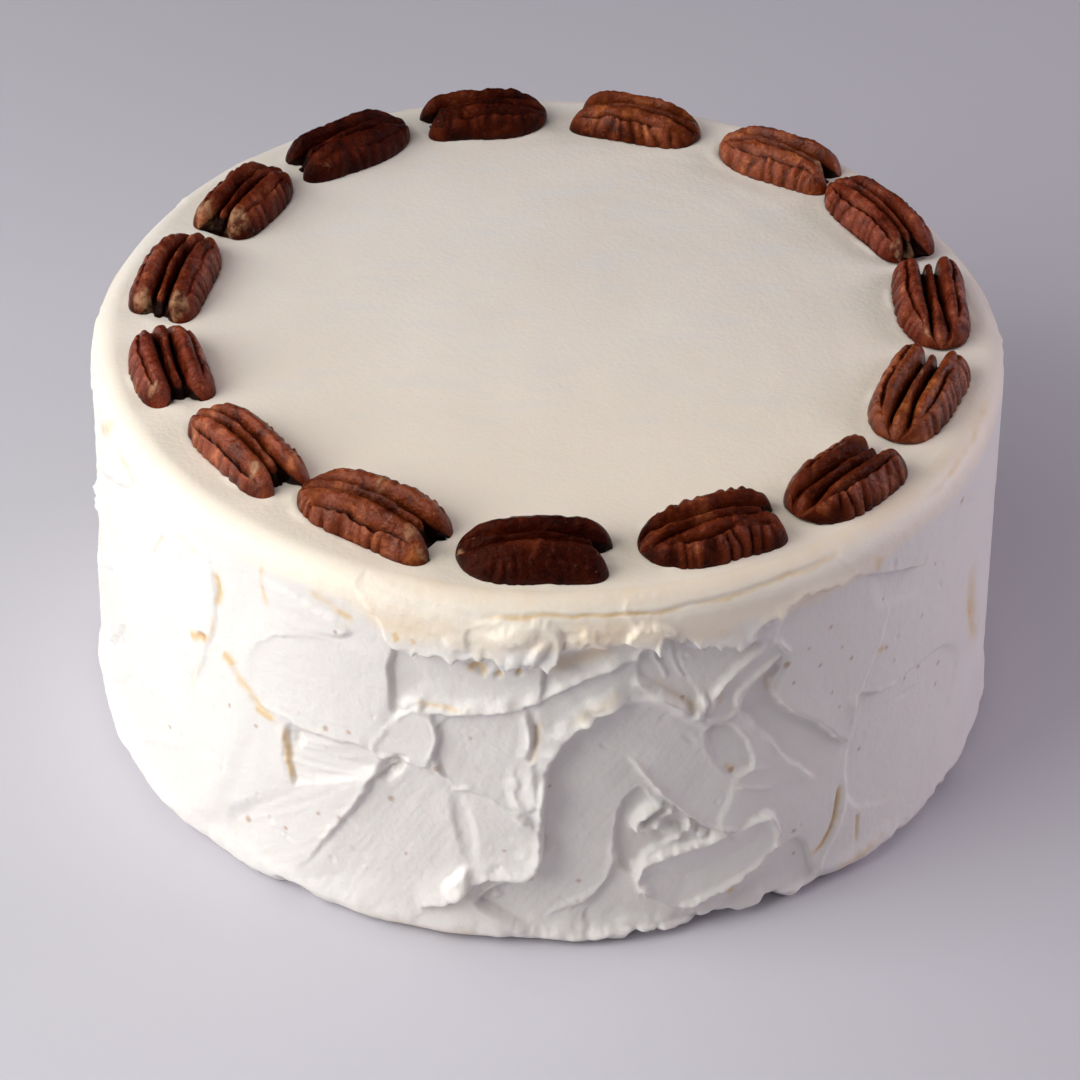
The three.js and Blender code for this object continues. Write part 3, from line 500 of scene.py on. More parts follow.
# yellow where creases show: the line, how strong, its width and how broken, as for Side.stain
STAINS = [
    ([(-98, 91.4), (-90, 92.1), (-84, 91.8), (-77, 91.6), (-72, 92)], 1, 0.5, 0.2),
    ([(-74, 91.9), (-66, 92.4), (-58, 93), (-50, 93.6)], 0.7, 0.5, 0.3),
    ([(-38, 92.6), (-30, 93.4), (-22, 94), (-12, 94)], 0.55, 0.6),
    ([(-165, 82), (-161, 87), (-157, 93)], 0.9, 1.3), ([(-155, 87), (-151.5, 88.5), (-149, 85)], 0.35, 1.5),
    ([(-145, 72), (-143.3, 77.5), (-142, 80.5)], 0.5, 0.6),
    ([(-140.5, 82), (-138, 85), (-134, 84.3)], 0.35, 0.9),
    ([(-132.2, 82), (-131.5, 77), (-132, 72)], 0.95, 0.9, 0.3), ([(-132.6, 71), (-133, 62)], 0.4, 0.7, 0.4),
    ([(-136.5, 59), (-134.5, 61.5), (-133, 62.5)], 0.9, 0.9, 0.3),
    ([(-135, 58), (-136, 50), (-137.7, 41)], 0.55, 0.6),
    ([(-130.8, 60), (-127, 54), (-124, 50.3), (-122, 49.3)], 0.8, 1),
    ([(-131.2, 60.6), (-130.2, 59.6), (-129.4, 58.4)], 1, 1.4, 0),
    ([(-126.2, 51), (-124.5, 50.2), (-123, 49.6)], 1, 0.8, 0),
    ([(-137.2, 59.2), (-136, 60.4), (-133.8, 61.6)], 1, 1.2, 0),
    ([(-122, 49.5), (-121.5, 42), (-120.7, 33)], 0.95, 0.7, 0.3),
    ([(-125, 91), (-124.6, 84), (-124, 79.5)], 0.75, 0.6),
    ([(-118.5, 88.5), (-115.5, 86.5), (-112, 83.3)], 0.85, 1),
    ([(-107.1, 85.4), (-106.5, 82.6)], 1, 0.8, 0), ([(-105, 84.6), (-104.7, 82.8)], 0.9, 0.6, 0),
    ([(-105, 66.2), (-102, 66.1), (-99, 66)], 0.8, 0.4, 0.3),
    ([(-98.8, 75.5), (-97.6, 77.6), (-96.4, 75.2)], 1, 0.8, 0.3),
    ([(-95.6, 76.6), (-94.6, 75.2)], 0.9, 0.6, 0), ([(-93.1, 76), (-92.5, 78.2)], 1, 0.6, 0),
    ([(-90, 77.5), (-87.5, 79.5), (-84, 81.5), (-81, 82.5)], 0.5, 2.3),
    ([(-87, 64), (-84, 68), (-80.5, 71.5)], 0.3, 1.3, 0.2),
    ([(-90.8, 53), (-90.6, 58), (-90.2, 66)], 0.5, 0.7), ([(-77, 74), (-74.5, 69), (-71.2, 63.5)], 0.5, 1),
    ([(-73, 85.5), (-69, 83.8), (-65.5, 83.2)], 0.25, 1.6), ([(-62.5, 68), (-62, 63)], 0.35, 0.9),
    ([(-68.8, 64), (-68.4, 69)], 0.4, 0.7), ([(-67.5, 46), (-66, 44)], 0.7, 0.6, 0),
    ([(-48.7, 53), (-48.2, 50.5)], 0.6, 0.8, 0), ([(-47, 84.5), (-46.3, 88.5)], 0.6, 1.1, 0.2),
    ([(-38.5, 78.5), (-37, 79.8)], 0.35, 1, 0),
    ([(-50.8, 29), (-51.3, 20), (-52.7, 14), (-55.5, 10.6)], 1, 0.8, 0.2),
    ([(-47.5, 17), (-47.4, 8)], 0.85, 0.7, 0.2), ([(-66, 12.5), (-65.6, 7)], 0.8, 0.8, 0.2),
    ([(-52, 3.5), (-47, 4.5), (-42, 6)], 0.5, 1.2), ([(-112, 2.5), (-104, 2), (-96, 2.5)], 0.3, 1.6),
    ([(-112, 88), (-106, 86), (-99, 87)], 0.3, 3.2), ([(-88, 88.5), (-84, 88.5), (-75, 89)], 0.3, 2.6),
    ([(-120, 96), (-100, 95.5), (-80, 95.5), (-60, 96), (-40, 96), (-15, 96)], 0.25, 3, 0.3),
    ([(-23, 62), (-22, 48), (-20, 38), (-16, 28)], 0.6, 3.2),
    ([(-23.4, 50), (-22, 46), (-21, 42)], 0.9, 2.2, 0.2), ([(-45.6, 61.6), (-44.4, 60.6)], 0.8, 0.9, 0),
]
# brown crumbs: angle, height and size
CRUMBS = [
    (-128, 15.5, 1.3), (-122, 19, 0.9), (-117, 27.8, 0.8), (-114.2, 29, 0.8), (-107.9, 37, 1.1),
    (-102.3, 49.3, 1), (-134.4, 61.2, 1.5), (-85, 17.3, 0.8), (-90.8, 17.5, 0.7), (-73.3, 67, 0.8),
    (-60, 69.6, 1), (-44, 60.3, 0.9), (-28, 83.5, 1.2), (-54, 75, 0.7), (-39, 46, 0.7), (-126, 45, 0.8),
    (-130, 47, 0.8), (-116, 53, 1), (-113, 54, 0.8), (-66.6, 44.2, 1), (-57.6, 20.8, 0.9),
    (-47.3, 34.6, 0.8), (-142, 27, 0.8), (-50.3, 64, 0.8), (-57, 72, 0.6), (-55.2, 66, 0.7),
    (-59, 64.5, 0.7), (-52, 68, 0.5), (-53.2, 57, 0.6), (-45, 75, 0.6), (-42.5, 55, 0.6), (-36, 46, 0.8),
    (-31.5, 36, 0.8), (-31, 41, 0.9), (-37, 62, 0.6), (-34, 73, 0.7), (-57, 13, 0.7), (-52, 52, 0.5),
    (-89, 45, 0.6), (-94, 28, 0.6), (-106, 22, 0.6), (-98, 59, 0.5),
]


def colour_marks(side):
    for stain in STAINS:
        side.stain(*stain)
    for crumb in CRUMBS:
        side.brown(*crumb)


NICKS = 320
BACK_STROKES = 84
BACK_RIDGES = 18
BACK_CRUMBS = 36
BACK_START = -34.0
BACK_SPAN = 242.0
GOLDEN = 0.618034  # spreads the passes evenly in any order
# corners of a pass, as shares of its half length and half width
KNIFE_PASS = [(-1, 0.1), (-0.75, 0.8), (0.1, 0.95), (0.85, 0.75), (1, -0.2), (0.5, -0.95), (-0.5, -0.8)]
BACK_LIPS = [(4, 38), (64, 98), (112, 136), (151, 175)]  # where the top's frosting hangs over, from and to
LIP_EDGE = [(0.2, 83), (0.4, 85.5), (0.65, 82.5), (0.85, 85)]  # its lower edge: share of the way, height


def nicks(side):
    """Small pits and short scratches, all round."""
    for index in range(NICKS):
        draw = draws(5 * index + 900)
        size = 0.45 + 0.6 * draw(2)
        length = size * (1 + 5 * draw(3) ** 3)
        rise = -0.25 + 0.4 * draw(4) ** 2
        side.lump(-180 + 360 * draw(0), 6 + 80 * draw(1), length, size, rise, 180 * draw(3), 0.2, 0.4)


def back_strokes(side):
    """The rest of the way round: long slantwise passes over each other, then ridges, folds and crumbs."""
    for index in range(BACK_STROKES):
        draw = draws(2000 + 40 * index)
        angle, height = BACK_START + BACK_SPAN * (index * GOLDEN % 1), 8 + 80 * draw(0)
        heading = 35 + 45 * draw(2) if draw(1) < 0.6 else 105 + 50 * draw(2)
        half_length, half_width = 15 + 16 * draw(3), 8 + 7 * draw(4)
        outline = []
        for corner, (forward, across) in enumerate(KNIFE_PASS):
            forward = (forward + 0.5 * (draw(20 + corner) - 0.5)) * half_length
            across = (across + 0.6 * (draw(30 + corner) - 0.5)) * half_width
            u, z = turned(forward, across, -heading)
            outline.append((angle + math.degrees(u / BASE_RADIUS), min(max(height + z, 5), 90)))
        lean = 0.5 * (draw(6) - 0.5), 0.45 * (draw(7) - 0.5)
        side.facet(outline, -1.0 + 1.7 * draw(5), lean, 0.2 + 0.4 * draw(8), 0.35 + 0.5 * draw(10), 0.95,
                   0.1 + 0.4 * draw(9), (heading, 0.06))
    for index in range(BACK_RIDGES):
        draw = draws(6000 + 10 * index)
        angle = BACK_START + BACK_SPAN * (index + draw(0)) / BACK_RIDGES
        low, reach = 8 + 42 * draw(1), 18 + 18 * draw(2)
        slant = (5 + 9 * draw(3)) * (1 if draw(4) < 0.6 else -1)
        bend = angle + (0.2 + 0.4 * draw(5)) * slant
        path = [(angle, low), (bend, low + 0.45 * reach), (angle + slant, low + reach)]
        widths = (1.5, 0.5) if draw(6) < 0.5 else (0.5, 1.5)
        side.ridge(path, 0.8 + draw(7), widths, 0.8 * (draw(8) - 0.5), rag=0.9, hang=(0.3, 0.2))
        if draw(9) < 0.45:
            side.stain([(degrees + 1.2, height) for degrees, height in path[:2]], 0.7, 0.8, 0.4)
    for start, end in BACK_LIPS:
        middle = [(start + share * (end - start), height) for share, height in LIP_EDGE]
        outline = [(start, 95), (start + 1, 87), *middle, (end - 1, 88), (end, 95)]
        side.facet(outline, 0.2, (0, -1.8), 0, 0.5, 1.2, 0.3, (4, 0.15))
        side.ridge(middle, 0.7, (1.3, 0.5), rag=1.2, hang=(0, 0.7))
        side.stain([(start + 2, 91.6), ((start + end) / 2, 92), (end - 2, 91.8)], 0.6, 0.5, 0.4)
    for index in range(BACK_CRUMBS):
        draw = draws(8000 + 3 * index)
        side.brown(BACK_START + BACK_SPAN * draw(0), 8 + 78 * draw(1), 0.5 + 0.6 * draw(2))


# ---- the frosting

def outside_profile():
    """Level lines from the plate up the side and round the rim. out, up: the way they face; relief and hem:
    how much of the knife's work and of the hem's unevenness they take."""
    side_z = np.linspace(0, SHOULDER, SIDE_ROWS + 1)
    radius = BASE_RADIUS + (SHOULDER_RADIUS - BASE_RADIUS) * side_z / SHOULDER
    tuck = HEM_TUCK * np.clip(1 - side_z / 3.4, 0, 1) ** 1.6
    bulge = 0.7 * bell(side_z - 4, 3)
    turn = np.radians(np.linspace(0, 90, RIM_ROWS + 1)[1:])
    parts = {
        "radius": (radius - tuck + bulge, TOP_RADIUS + RIM_ROUND * np.cos(turn)),
        "z": (side_z, SHOULDER + RIM_ROUND * np.sin(turn)),
        "out": (np.ones(SIDE_ROWS + 1), np.cos(turn)),
        "up": (np.zeros(SIDE_ROWS + 1), np.sin(turn)),
        "relief": (smooth(-4, 7, side_z), np.cos(turn) ** 1.5),
        "hem": (1 - smooth(3, HEM_HEIGHT + 2, side_z), np.zeros(RIM_ROWS)),
    }
    return {name: np.concatenate(values)[:, None] for name, values in parts.items()}


def top_rise(x, y):
    """The top rolls a little, and its rim sinks at one shoulder."""
    angle = np.degrees(np.arctan2(y, x))
    roll = 0.35 * np.sin(x / 31 + 1.3) * np.cos(y / 27 - 0.4)
    rim = -1.3 * bell(angle - 20, 15) + 0.6 * unevenness(along(angle), 60, 45, 3)
    return roll + rim * smooth(76, 99, np.hypot(x, y))


def seats(x, y):
    """Frosting pressed down under each nut and pushed up in a low bank round it."""
    rise = np.zeros_like(x)
    for number, (angle, ring, heading, length, width, _) in enumerate(NUTS):
        angle = math.radians(angle)
        forward, across = turned(x - ring * math.cos(angle), y - ring * math.sin(angle), heading)
        forward, across = forward / (length / 2), np.abs(across / (width / 2))
        reach = (np.abs(forward) ** 2.4 + across**2.4) ** (1 / 2.4)
        outside = (reach - 0.93) * width / 2
        bank = 0.15 + 0.85 * smooth(0.0, 0.6, grain(x, y, 0, 7, 51 + number))
        notch = smooth(0.66, 0.84, forward) * smooth(0.34, 0.16, across)
        press = NUT_SUNK * smooth(0.6, -1.2, outside) * (1 - notch)
        rise += bank * 0.35 * np.exp(-((outside - 1.0) ** 2) / 0.9) - press
    return rise


def top_finish(x, y):
    """Faint arcs that the spatula left as the cake turned, and soft unevenness."""
    radius, angle = np.hypot(x, y), np.arctan2(y, x)
    sweep = radius + 6 * np.sin(angle - 0.6) + 2.5 * np.sin(3 * angle + 1)
    arcs = grain(sweep, 3 * angle, 0, 4, 61) * smooth(20, 45, radius)
    return 0.07 * arcs + 0.12 * grain(x, y, 0, 16, 62) + 0.03 * grain(x, y, 0, 5, 63)


def warmth(y):
    """The top's colour turns lighter and yellower toward the front."""
    return smooth(45, -75, y)


def smears(x, y):
    """Where the sheet is thinner and greyer: short streaks across it, most of them toward the back."""
    streaks = grain(0.22 * x + 0.1 * y, y, 0, 3.0, 64) + 0.6 * grain(0.5 * x, y - 0.1 * x, 0, 9, 65)
    reach = 1 - smooth(60, 84, np.hypot(x, y - 8))
    return smooth(0.05, 0.75, streaks) * reach * (0.35 + 0.65 * smooth(-50, 25, y))


HEM_GAPS = [(-77, 3.4), (-67.5, 5.5), (-61, 5.0), (-29, 6), (-121, 4)]  # angle and half width of an undercut
HEM_GAP_DEPTH = 4.0
TORN_HEM = (-70, 26)  # where the hem is most ragged: the middle, and how far that reaches


def side_surface(angles):
    """Points of the side and the rim, row by row from the plate up, and each one's colour fields."""
    profile = outside_profile()
    side = Side(angles * BASE_RADIUS, profile["z"][:, 0])
    u, level = np.meshgrid(side.u, side.z)
    turn = np.degrees(u / BASE_RADIUS)

    def uneven(cell, seed):
        return side_grain(u, level, cell, seed)

    swell = 0.8 * bell(turn + 135, 32) * bell(level - 58, 30)
    side.depth += swell + 0.35 * unevenness(u, level, 17, 1)
    for strokes in (back_strokes, left_strokes, middle_strokes, right_strokes, nicks, colour_marks):
        strokes(side)
    fine = 0.06 * uneven(3.0, 71) + 0.035 * uneven(1.4, 72)

    torn = bell(turn - TORN_HEM[0], TORN_HEM[1], 4)
    hem = 1.1 * unevenness(u, level, 9, 5) + 0.9 * uneven(5.5, 73)
    hem = (0.4 + 0.6 * torn) * (hem + 0.35 * uneven(2.4, 74))
    gaps = sum(bell(along(angle) - u, half, 4) for angle, half in HEM_GAPS)
    gaps = gaps + (0.3 + 0.7 * torn) * smooth(0.45, 0.8, side_grain(u, 0, 11, 75))
    hem = hem - HEM_GAP_DEPTH * gaps * smooth(4.2, 2.0, level + 1.6 * uneven(3, 76))

    relief, up = profile["relief"], profile["up"]
    depth = (side.depth + fine) * relief + hem * profile["hem"]
    radius = profile["radius"] + depth * profile["out"]
    angle = u / BASE_RADIUS + side.slide * relief / BASE_RADIUS
    x, y = radius * np.cos(angle), radius * np.sin(angle)
    z = level + (depth * up + top_rise(x, y) * up**2) + side.sag * relief * smooth(0, 6, level)
    edge = 87.5 - 5 * smooth(-116, -106, turn) * smooth(-38, -55, turn)
    torn_edge = level + 1.5 * side_grain(u, 0, 12, 77) + 0.6 * uneven(3, 78)
    fields = {
        "butter": side.butter,
        "crumb": side.crumb,
        "sheet": smooth(edge, edge + 3.5, torn_edge),  # the top's frosting, down to its torn edge
        # a brighter cream band round the front of the rim: partly the sheet's cream colour, partly painted
        # light from above
        "cream": bell(level - 92, 2.4) * smooth(-118, -92, turn) * smooth(-12, -45, turn),
        "warm": warmth(y),
        "smear": 0 * y,
    }
    return np.stack([x, y, np.maximum(z, 0)], -1), fields


def top_surface(angles, radii):
    grid_angle, radius = np.meshgrid(angles, radii)
    x, y = radius * np.cos(grid_angle), radius * np.sin(grid_angle)
    z = CAKE_HEIGHT + top_rise(x, y) + seats(x, y) + top_finish(x, y) * smooth(TOP_RADIUS, 90, radius)
    return np.stack([x, y, z], -1)


def stitch(lower, upper):
    """Faces from a ring of vertex numbers to the next one, which has as many or half as many."""
    count = len(upper)
    faces = []
    for i in range(count):
        here, following = upper[i], upper[(i + 1) % count]
        if len(lower) == count:
            faces.append((lower[i], lower[(i + 1) % count], following, here))
            continue
        first, middle, last = lower[2 * i], lower[2 * i + 1], lower[(2 * i + 2) % len(lower)]
        faces += [(first, middle, here), (middle, last, following), (middle, following, here)]
    return faces


def frosting_mesh():
    """The coat's points in metres, its faces, and a number for each point in each of its colour fields."""
    # columns of the side, closest together where the knife's work is boldest
    angles = np.radians(np.concatenate([np.linspace(*span, endpoint=False) for span in COLUMN_SPANS]))
    side, fields = side_surface(angles)
    rings = [*side, *top_surface(angles, np.linspace(TOP_RADIUS, SEAT_RADIUS, SEAT_ROWS + 1)[1:])]
    for every, start, end, step in INNER_RINGS:
        rings += list(top_surface(angles[::every], np.arange(start, end, step)))
    starts = np.cumsum([0] + [len(ring) for ring in rings]).tolist()
    numbers = [list(range(start, end)) for start, end in zip(starts[:-1], starts[1:])]
    faces = [face for lower, upper in zip(numbers[:-1], numbers[1:]) for face in stitch(lower, upper)]
    first, last, crown = numbers[0], numbers[-1], starts[-1]
    faces += [(last[i - 1], last[i], crown) for i in [*range(1, len(last)), 0]]
    faces += [(first[i], first[i - 1], crown + 1) for i in [*range(1, len(first)), 0]]
    centre = np.array([[0, 0, CAKE_HEIGHT + float(top_rise(0.0, 0.0))], [0, 0, 0]])
    points = np.vstack(rings + [centre])
    points[:, :2] -= (points[:, :2].max(0) + points[:, :2].min(0)) / 2
    on_side = fields["warm"].size
    x, y = points[on_side:, :2].T
    on_top = {"butter": 0, "crumb": 0, "sheet": 1, "cream": 0, "warm": warmth(y), "smear": smears(x, y)}
    for name, value in on_top.items():
        fields[name] = np.concatenate([fields[name].ravel(), np.full(len(points) - on_side, value)])
    return points * MM, faces, fields


def new_object(name, points, faces):
    mesh = bpy.data.meshes.new(name)
    mesh.from_pydata(points.tolist(), [], faces)
    mesh.validate()
    mesh.shade_smooth()
    piece = bpy.data.objects.new(name, mesh)
    bpy.context.scene.collection.objects.link(piece)
    return piece


def set_fields(piece, fields):
    """Numbers for each vertex, which the material reads."""
    for name, values in fields.items():
        field = piece.data.attributes.new(name, "FLOAT", "POINT")
        field.data.foreach_set("value", np.asarray(values, dtype=np.float32).ravel())


def make_frosting(material):
    points, faces, fields = frosting_mesh()
    piece = new_object("frosting_coat", points, faces)
    set_fields(piece, fields)
    piece.data.materials.append(material)
    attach(piece, "root")
    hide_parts("cake")


# ---- the pecan halves

NUT_STATIONS = 100  # rows of the mesh along a half
NUT_TOP_POINTS = 91  # points across its outside
NUT_UNDER_STEP = 6  # the flat side has one point for so many of the outside's
NUT_STRIP = 0.28  # share of the points across that lie between the two lobes
NUT_GROOVE = 0.21  # where a lobe falls into the groove beside the middle ridge, as a share of the half width
NUT_RIDGE = 0.13  # half width of the middle ridge, the same way
NUT_TIP = 0.52  # where the tip of a lobe lies, the same way
NUT_KNUCKLE = 3.1  # mm from one knuckle on the flank to the next
ALMOST = 0.999  # keeps the ends of a half a hair wide, so that no two points fall together

# how wrinkled each half is, how light and how orange its skin, how far its middle falls short of the tips, in
# mm, and where the furrow along a lobe lies, as a share of the way to the outline
NUT_LOOKS = [
    (0.6, 0, 0.3, 2, 0.8), (1.15, 0.66, 0.8, 2.6, 0.77), (1, 0.82, 0.6, 2.8, 0.79),
    (0.85, 0.68, 0.1, 1.6, 0.68), (0.75, 0.58, 0.2, 0.2, 0.7), (0.8, 0.42, 0.3, 0.3, 0.7),
    (0.8, 0.03, 0.2, 1.4, 0.72), (0.8, 0.08, 0.4, 1.5, 0.72), (1, 0.55, 0.9, 1.2, 0.75),
    (1.1, 0.82, 0.8, 1.6, 0.72), (1, 0.64, 0.1, 0.6, 0.7), (0.95, 0.6, 0.2, 2.8, 0.63),
    (1, 0.8, 1, 3.4, 0.65), (1.15, 0.42, 0.5, 2.2, 0.62), (1.1, 0.33, 0.4, 2.6, 0.64),
]
# pale broken spots: number of the half, place along it and across it from -1 to 1, and its reach in mm
NUT_SCARS = [
    (0, -0.95, -0.35, 1.8), (0, -0.82, 0.1, 1.1), (1, 0, 0.45, 1.6), (1, 0.75, -0.5, 2),
    (1, 0.95, -0.7, 1.4), (2, 0.66, -0.6, 1.9), (4, 0.86, 0.6, 3), (4, 0.9, -0.5, 2.6), (5, 0.84, 0.6, 3.4),
    (5, 0.84, -0.6, 3), (8, -0.95, -0.3, 2.4), (10, 0.9, -0.1, 2), (10, 0.92, -0.6, 1.6),
    (14, -0.35, -0.3, 1.2), (12, 0.1, 0.05, 1.2), (11, -0.85, 0.5, 1.2), (9, 0.75, -0.1, 2.4),
    (3, 0.8, -0.7, 1.6),
]


def nut_plan(t):
    """Edge of the outline and inner edge of a lobe along a half, as shares of the half width."""
    closed = np.sqrt(1 - ALMOST * np.abs(t) ** 2.7)
    tips = np.sqrt(1 - ALMOST * np.abs(t) ** 6)
    pinch = 1 - np.sqrt(1 - np.clip((t - 0.73) / 0.27, 0, 1) ** 2.4)
    outer = np.where(t > 0, NUT_TIP + (1 - NUT_TIP) * tips, closed)
    root = np.minimum(NUT_GROOVE * (1 + 0.6 * smooth(-0.45, -0.9, t)) * closed**0.5, 0.72 * closed)
    inner = np.where(t > 0, NUT_GROOVE + (NUT_TIP - NUT_GROOVE) * pinch, root)
    return outer, inner


def nut_section(t, v, place, forward, number, knurl):
    """Height of the outside as a share of the whole, how creases pull it in, how much painted shade lies in
    its creases,
    and how light it is: the half's own tone with painted highlight on crests and knuckles.
    t: from -1 at the closed end to 1 at the notched one; v: from -1 to 1 across; place: share of the half
    width; forward and knurl: mm along and across."""
    outer, inner = nut_plan(t)
    wrinkled, lightness, _, _, furrow_place = NUT_LOOKS[number]
    shift = 100 * number
    from_edge = np.clip(place / outer, 0, 1)
    opening, closing = smooth(0.72, 0.93, t), smooth(-0.55, -0.95, t)

    def uneven(cell, seed):
        return grain(forward + shift, knurl, 0, cell, seed)

    def skin(cell, seed):  # its two lobes differ
        return grain(forward + shift + 40 * np.sign(v), knurl, 0, cell, seed)

    # the dome of a lobe, the groove's floor inside it and the ridge along the middle
    dome = np.sqrt(1 - from_edge**2.8)
    floor = (0.32 + 0.26 * closing) * (1 - opening)
    wall = (1 - (1 - np.clip((place - inner) / 0.30, 0, 1)) ** 2) ** 0.55
    lobe = floor + (dome * (1 + 0.05 * skin(9, 80)) - floor) * wall
    tapered = np.where(t < 0, (1 - ALMOST * np.abs(t) ** 2.5) ** 0.35, 1)
    ridge_half = NUT_RIDGE * (1 + 1.1 * smooth(-0.3, -0.9, t)) * tapered
    ridge_top = 0.84 + 0.08 * closing - 0.12 * smooth(0.1, 0.6, t) - 0.60 * opening + 0.035 * uneven(4, 81)
    off_ridge = np.abs(np.sign(v) * place - 0.02 * np.sin(2.6 * t + number))
    crown = np.clip(1 - (off_ridge / ridge_half) ** 2, 0, 1) ** 0.4
    height = np.where(place >= inner, lobe, floor + np.maximum(ridge_top - floor, 0) * crown)

    # the furrow along a lobe, and the knuckles of its flank with the folds between them
    furrow_at = furrow_place + 0.07 * skin(7, 82) + 0.03 * skin(2.5, 89)
    furrow = bell(from_edge - furrow_at, 0.04)
    furrow = furrow * (within(-0.85, -0.45, 0.6, 0.9, t) * smooth(-0.5, 0.1, skin(9, 83) + 0.3))
    furrow = furrow * min(max(wrinkled - 0.5, 0.0) * 2, 1.0)
    wave = np.abs(np.sin(math.pi * forward / NUT_KNUCKLE + 2.6 * skin(5, 84) + 1.5 * (from_edge - 0.7)))
    below = smooth(furrow_at - 0.02, furrow_at + 0.10, from_edge)
    flank = below * smooth(-0.97, -0.65, t) * (1 - smooth(0.6, 0.88, t))
    upper = within(0.32, 0.55, 0.55, 0.66, from_edge) * smooth(-0.1, 0.5, skin(6, 86))
    patchy = 0.25 + 0.75 * smooth(-0.4, 0.4, skin(6, 85) + 0.1)
    fold = (1 - wave) ** 1.4 * wrinkled * (flank * patchy + (0.35 + max(wrinkled - 1, 0)) * upper)
    height = height - 0.22 * furrow - 0.085 * fold + 0.03 * flank * patchy * wave

    # fine wrinkles, and the fan of creases at the closed end
    ripples = grain(forward + shift, 0.3 * knurl + 9 * np.sign(v), 0, 1.25, 93)
    height = height + 0.042 * wrinkled * ripples * smooth(0.25, 0.6, from_edge) * smooth(0.9, 0.6, t)
    wrinkles = 0.04 * skin(3.4, 87) + 0.03 * skin(1.5, 88) + 0.012 * skin(0.8, 92)
    height = height + wrinkles * smooth(0, 0.3, height)
    height = height + 0.10 * (closing * smooth(0.75, 0.3, from_edge)) * uneven(2.2, 90)
    # painted shade: the trough beside the middle ridge, the furrow along a lobe and the folds between
    # knuckles are darkened where shade falls
    trough = smooth(0.62, 0.36, height / np.maximum(dome, 0.3)) * (place < inner + 0.08)
    dark = np.maximum.reduce([trough, 0.6 * furrow, 0.5 * fold * flank])
    # painted highlight: knuckle tops and the higher parts of a lobe are made lighter, over the half's own
    # lightness and mottle
    light = lightness + 0.35 * flank * wave * wrinkled + 0.25 * skin(5, 91) - 0.12 + 0.55 * (height - 0.66)
    pull = flank * patchy * (0.45 * fold - 0.35 * wrinkled * wave) - 0.15 * flank * ripples
    return height, pull, np.clip(dark, 0, 1), np.clip(light, 0, 1)


def nut_scars(t, v, half, half_width, number):
    """How pale each spot is where the skin is scraped off."""
    pale = np.zeros(np.broadcast(t, v).shape)
    for nut, along_it, across_it, reach in NUT_SCARS:
        if nut == number:
            off = np.hypot((t - along_it) * half, (v - across_it) * half_width)
            off = off + 0.9 * grain(t * half, v * half_width, 0, 1.4, 95 + number)
            pale = np.maximum(pale, smooth(reach, 0.4 * reach, off))
    return pale


def nut_shape(number):
    """Points of one half in its own frame, row by row, with the painted shade, the pale scrapes and the
    lightness of each, the lightness carrying painted highlight.
    """
    length, width, height = NUTS[number][3:]
    half, half_width = length / 2, width / 2
    t = -np.cos(np.linspace(0, math.pi, NUT_STATIONS))[:, None]
    v = np.linspace(-1, 1, NUT_TOP_POINTS)[None, :]
    side_of = np.abs(v)
    outer, inner = nut_plan(t)
    on_lobe = np.clip((side_of - NUT_STRIP) / (1 - NUT_STRIP), 0, 1)
    on_lobe = 0.55 * on_lobe + 0.45 * np.sin(on_lobe * math.pi / 2)  # closer points on the steep flank
    place = np.where(side_of < NUT_STRIP, side_of / NUT_STRIP * inner, inner + on_lobe * (outer - inner))
    share, pull, dark, light = nut_section(t, v, place, t * half, number, v * half_width)
    low = np.sqrt(1 - np.abs(t) ** np.where(t > 0, 6.0, 3.2)) * (1 - np.where(t > 0, 0.2, 0.12) * t**2)
    lift = 0.1 * (height + NUT_SUNK) * np.clip(-t, 0, 1) ** 6
    opening = smooth(0.6, 1, t)
    between = 1 - smooth(0.8 * NUT_STRIP, 1.15 * NUT_STRIP, side_of)
    shorter = 0.8 * opening * (v * (-1) ** number < 0) * smooth(0.1, 0.3, side_of)  # one lobe's tip
    forward = t * half - NUT_LOOKS[number][3] * between * opening - shorter
    across = np.sign(v) * (place * half_width - 0.6 * pull)
    across = across + 0.7 * np.sin(1.7 * t + 1.3 * number) * (1 - t**2)  # none is quite straight
    top = np.stack([forward, across, lift + (height + NUT_SUNK) * share * low], -1)
    under = top[:, -1 - NUT_UNDER_STEP : 0 : -NUT_UNDER_STEP].copy()
    under[..., 1] *= 0.9
    under[..., 2] = lift
    plain = np.zeros(under.shape[:2])
    pale = nut_scars(t, v, half, half_width, number)
    # painted shade in the creases, pale scrapes, and the skin's lightness with painted highlight; then each
    # one's value on the flat underside, which also takes painted shade
    fields = {"painted_groove_shade": (dark, 0.5), "scar": (pale, 0.0), "skin_tone_and_painted_highlight": (light, 0.3)}
    fields = {name: np.concatenate([values, plain + below], 1) for name, (values, below) in fields.items()}
    return np.concatenate([top, under], 1), fields


def nut_faces(rows, columns):
    """Bands from station to station, and the two ends, each closed from the outside to the flat side."""
    faces = []
    for row in range(rows - 1):
        for k in range(columns):
            a, b = row * columns + k, row * columns + (k + 1) % columns
            faces.append((a, a + columns, b + columns, b))
    under = [NUT_TOP_POINTS - 1, *range(NUT_TOP_POINTS, columns), 0]
    for start in (0, (rows - 1) * columns):
        for j in range(len(under) - 1):
            end = NUT_TOP_POINTS - 1 - j * NUT_UNDER_STEP
            top = range(end, end - NUT_UNDER_STEP - 1, -1)
            corners = list(dict.fromkeys([*top, under[j + 1], under[j]]))
            for a, b in zip(corners[:-2], corners[1:-1]):
                faces.append((start + corners[-1], start + a, start + b))
    return faces


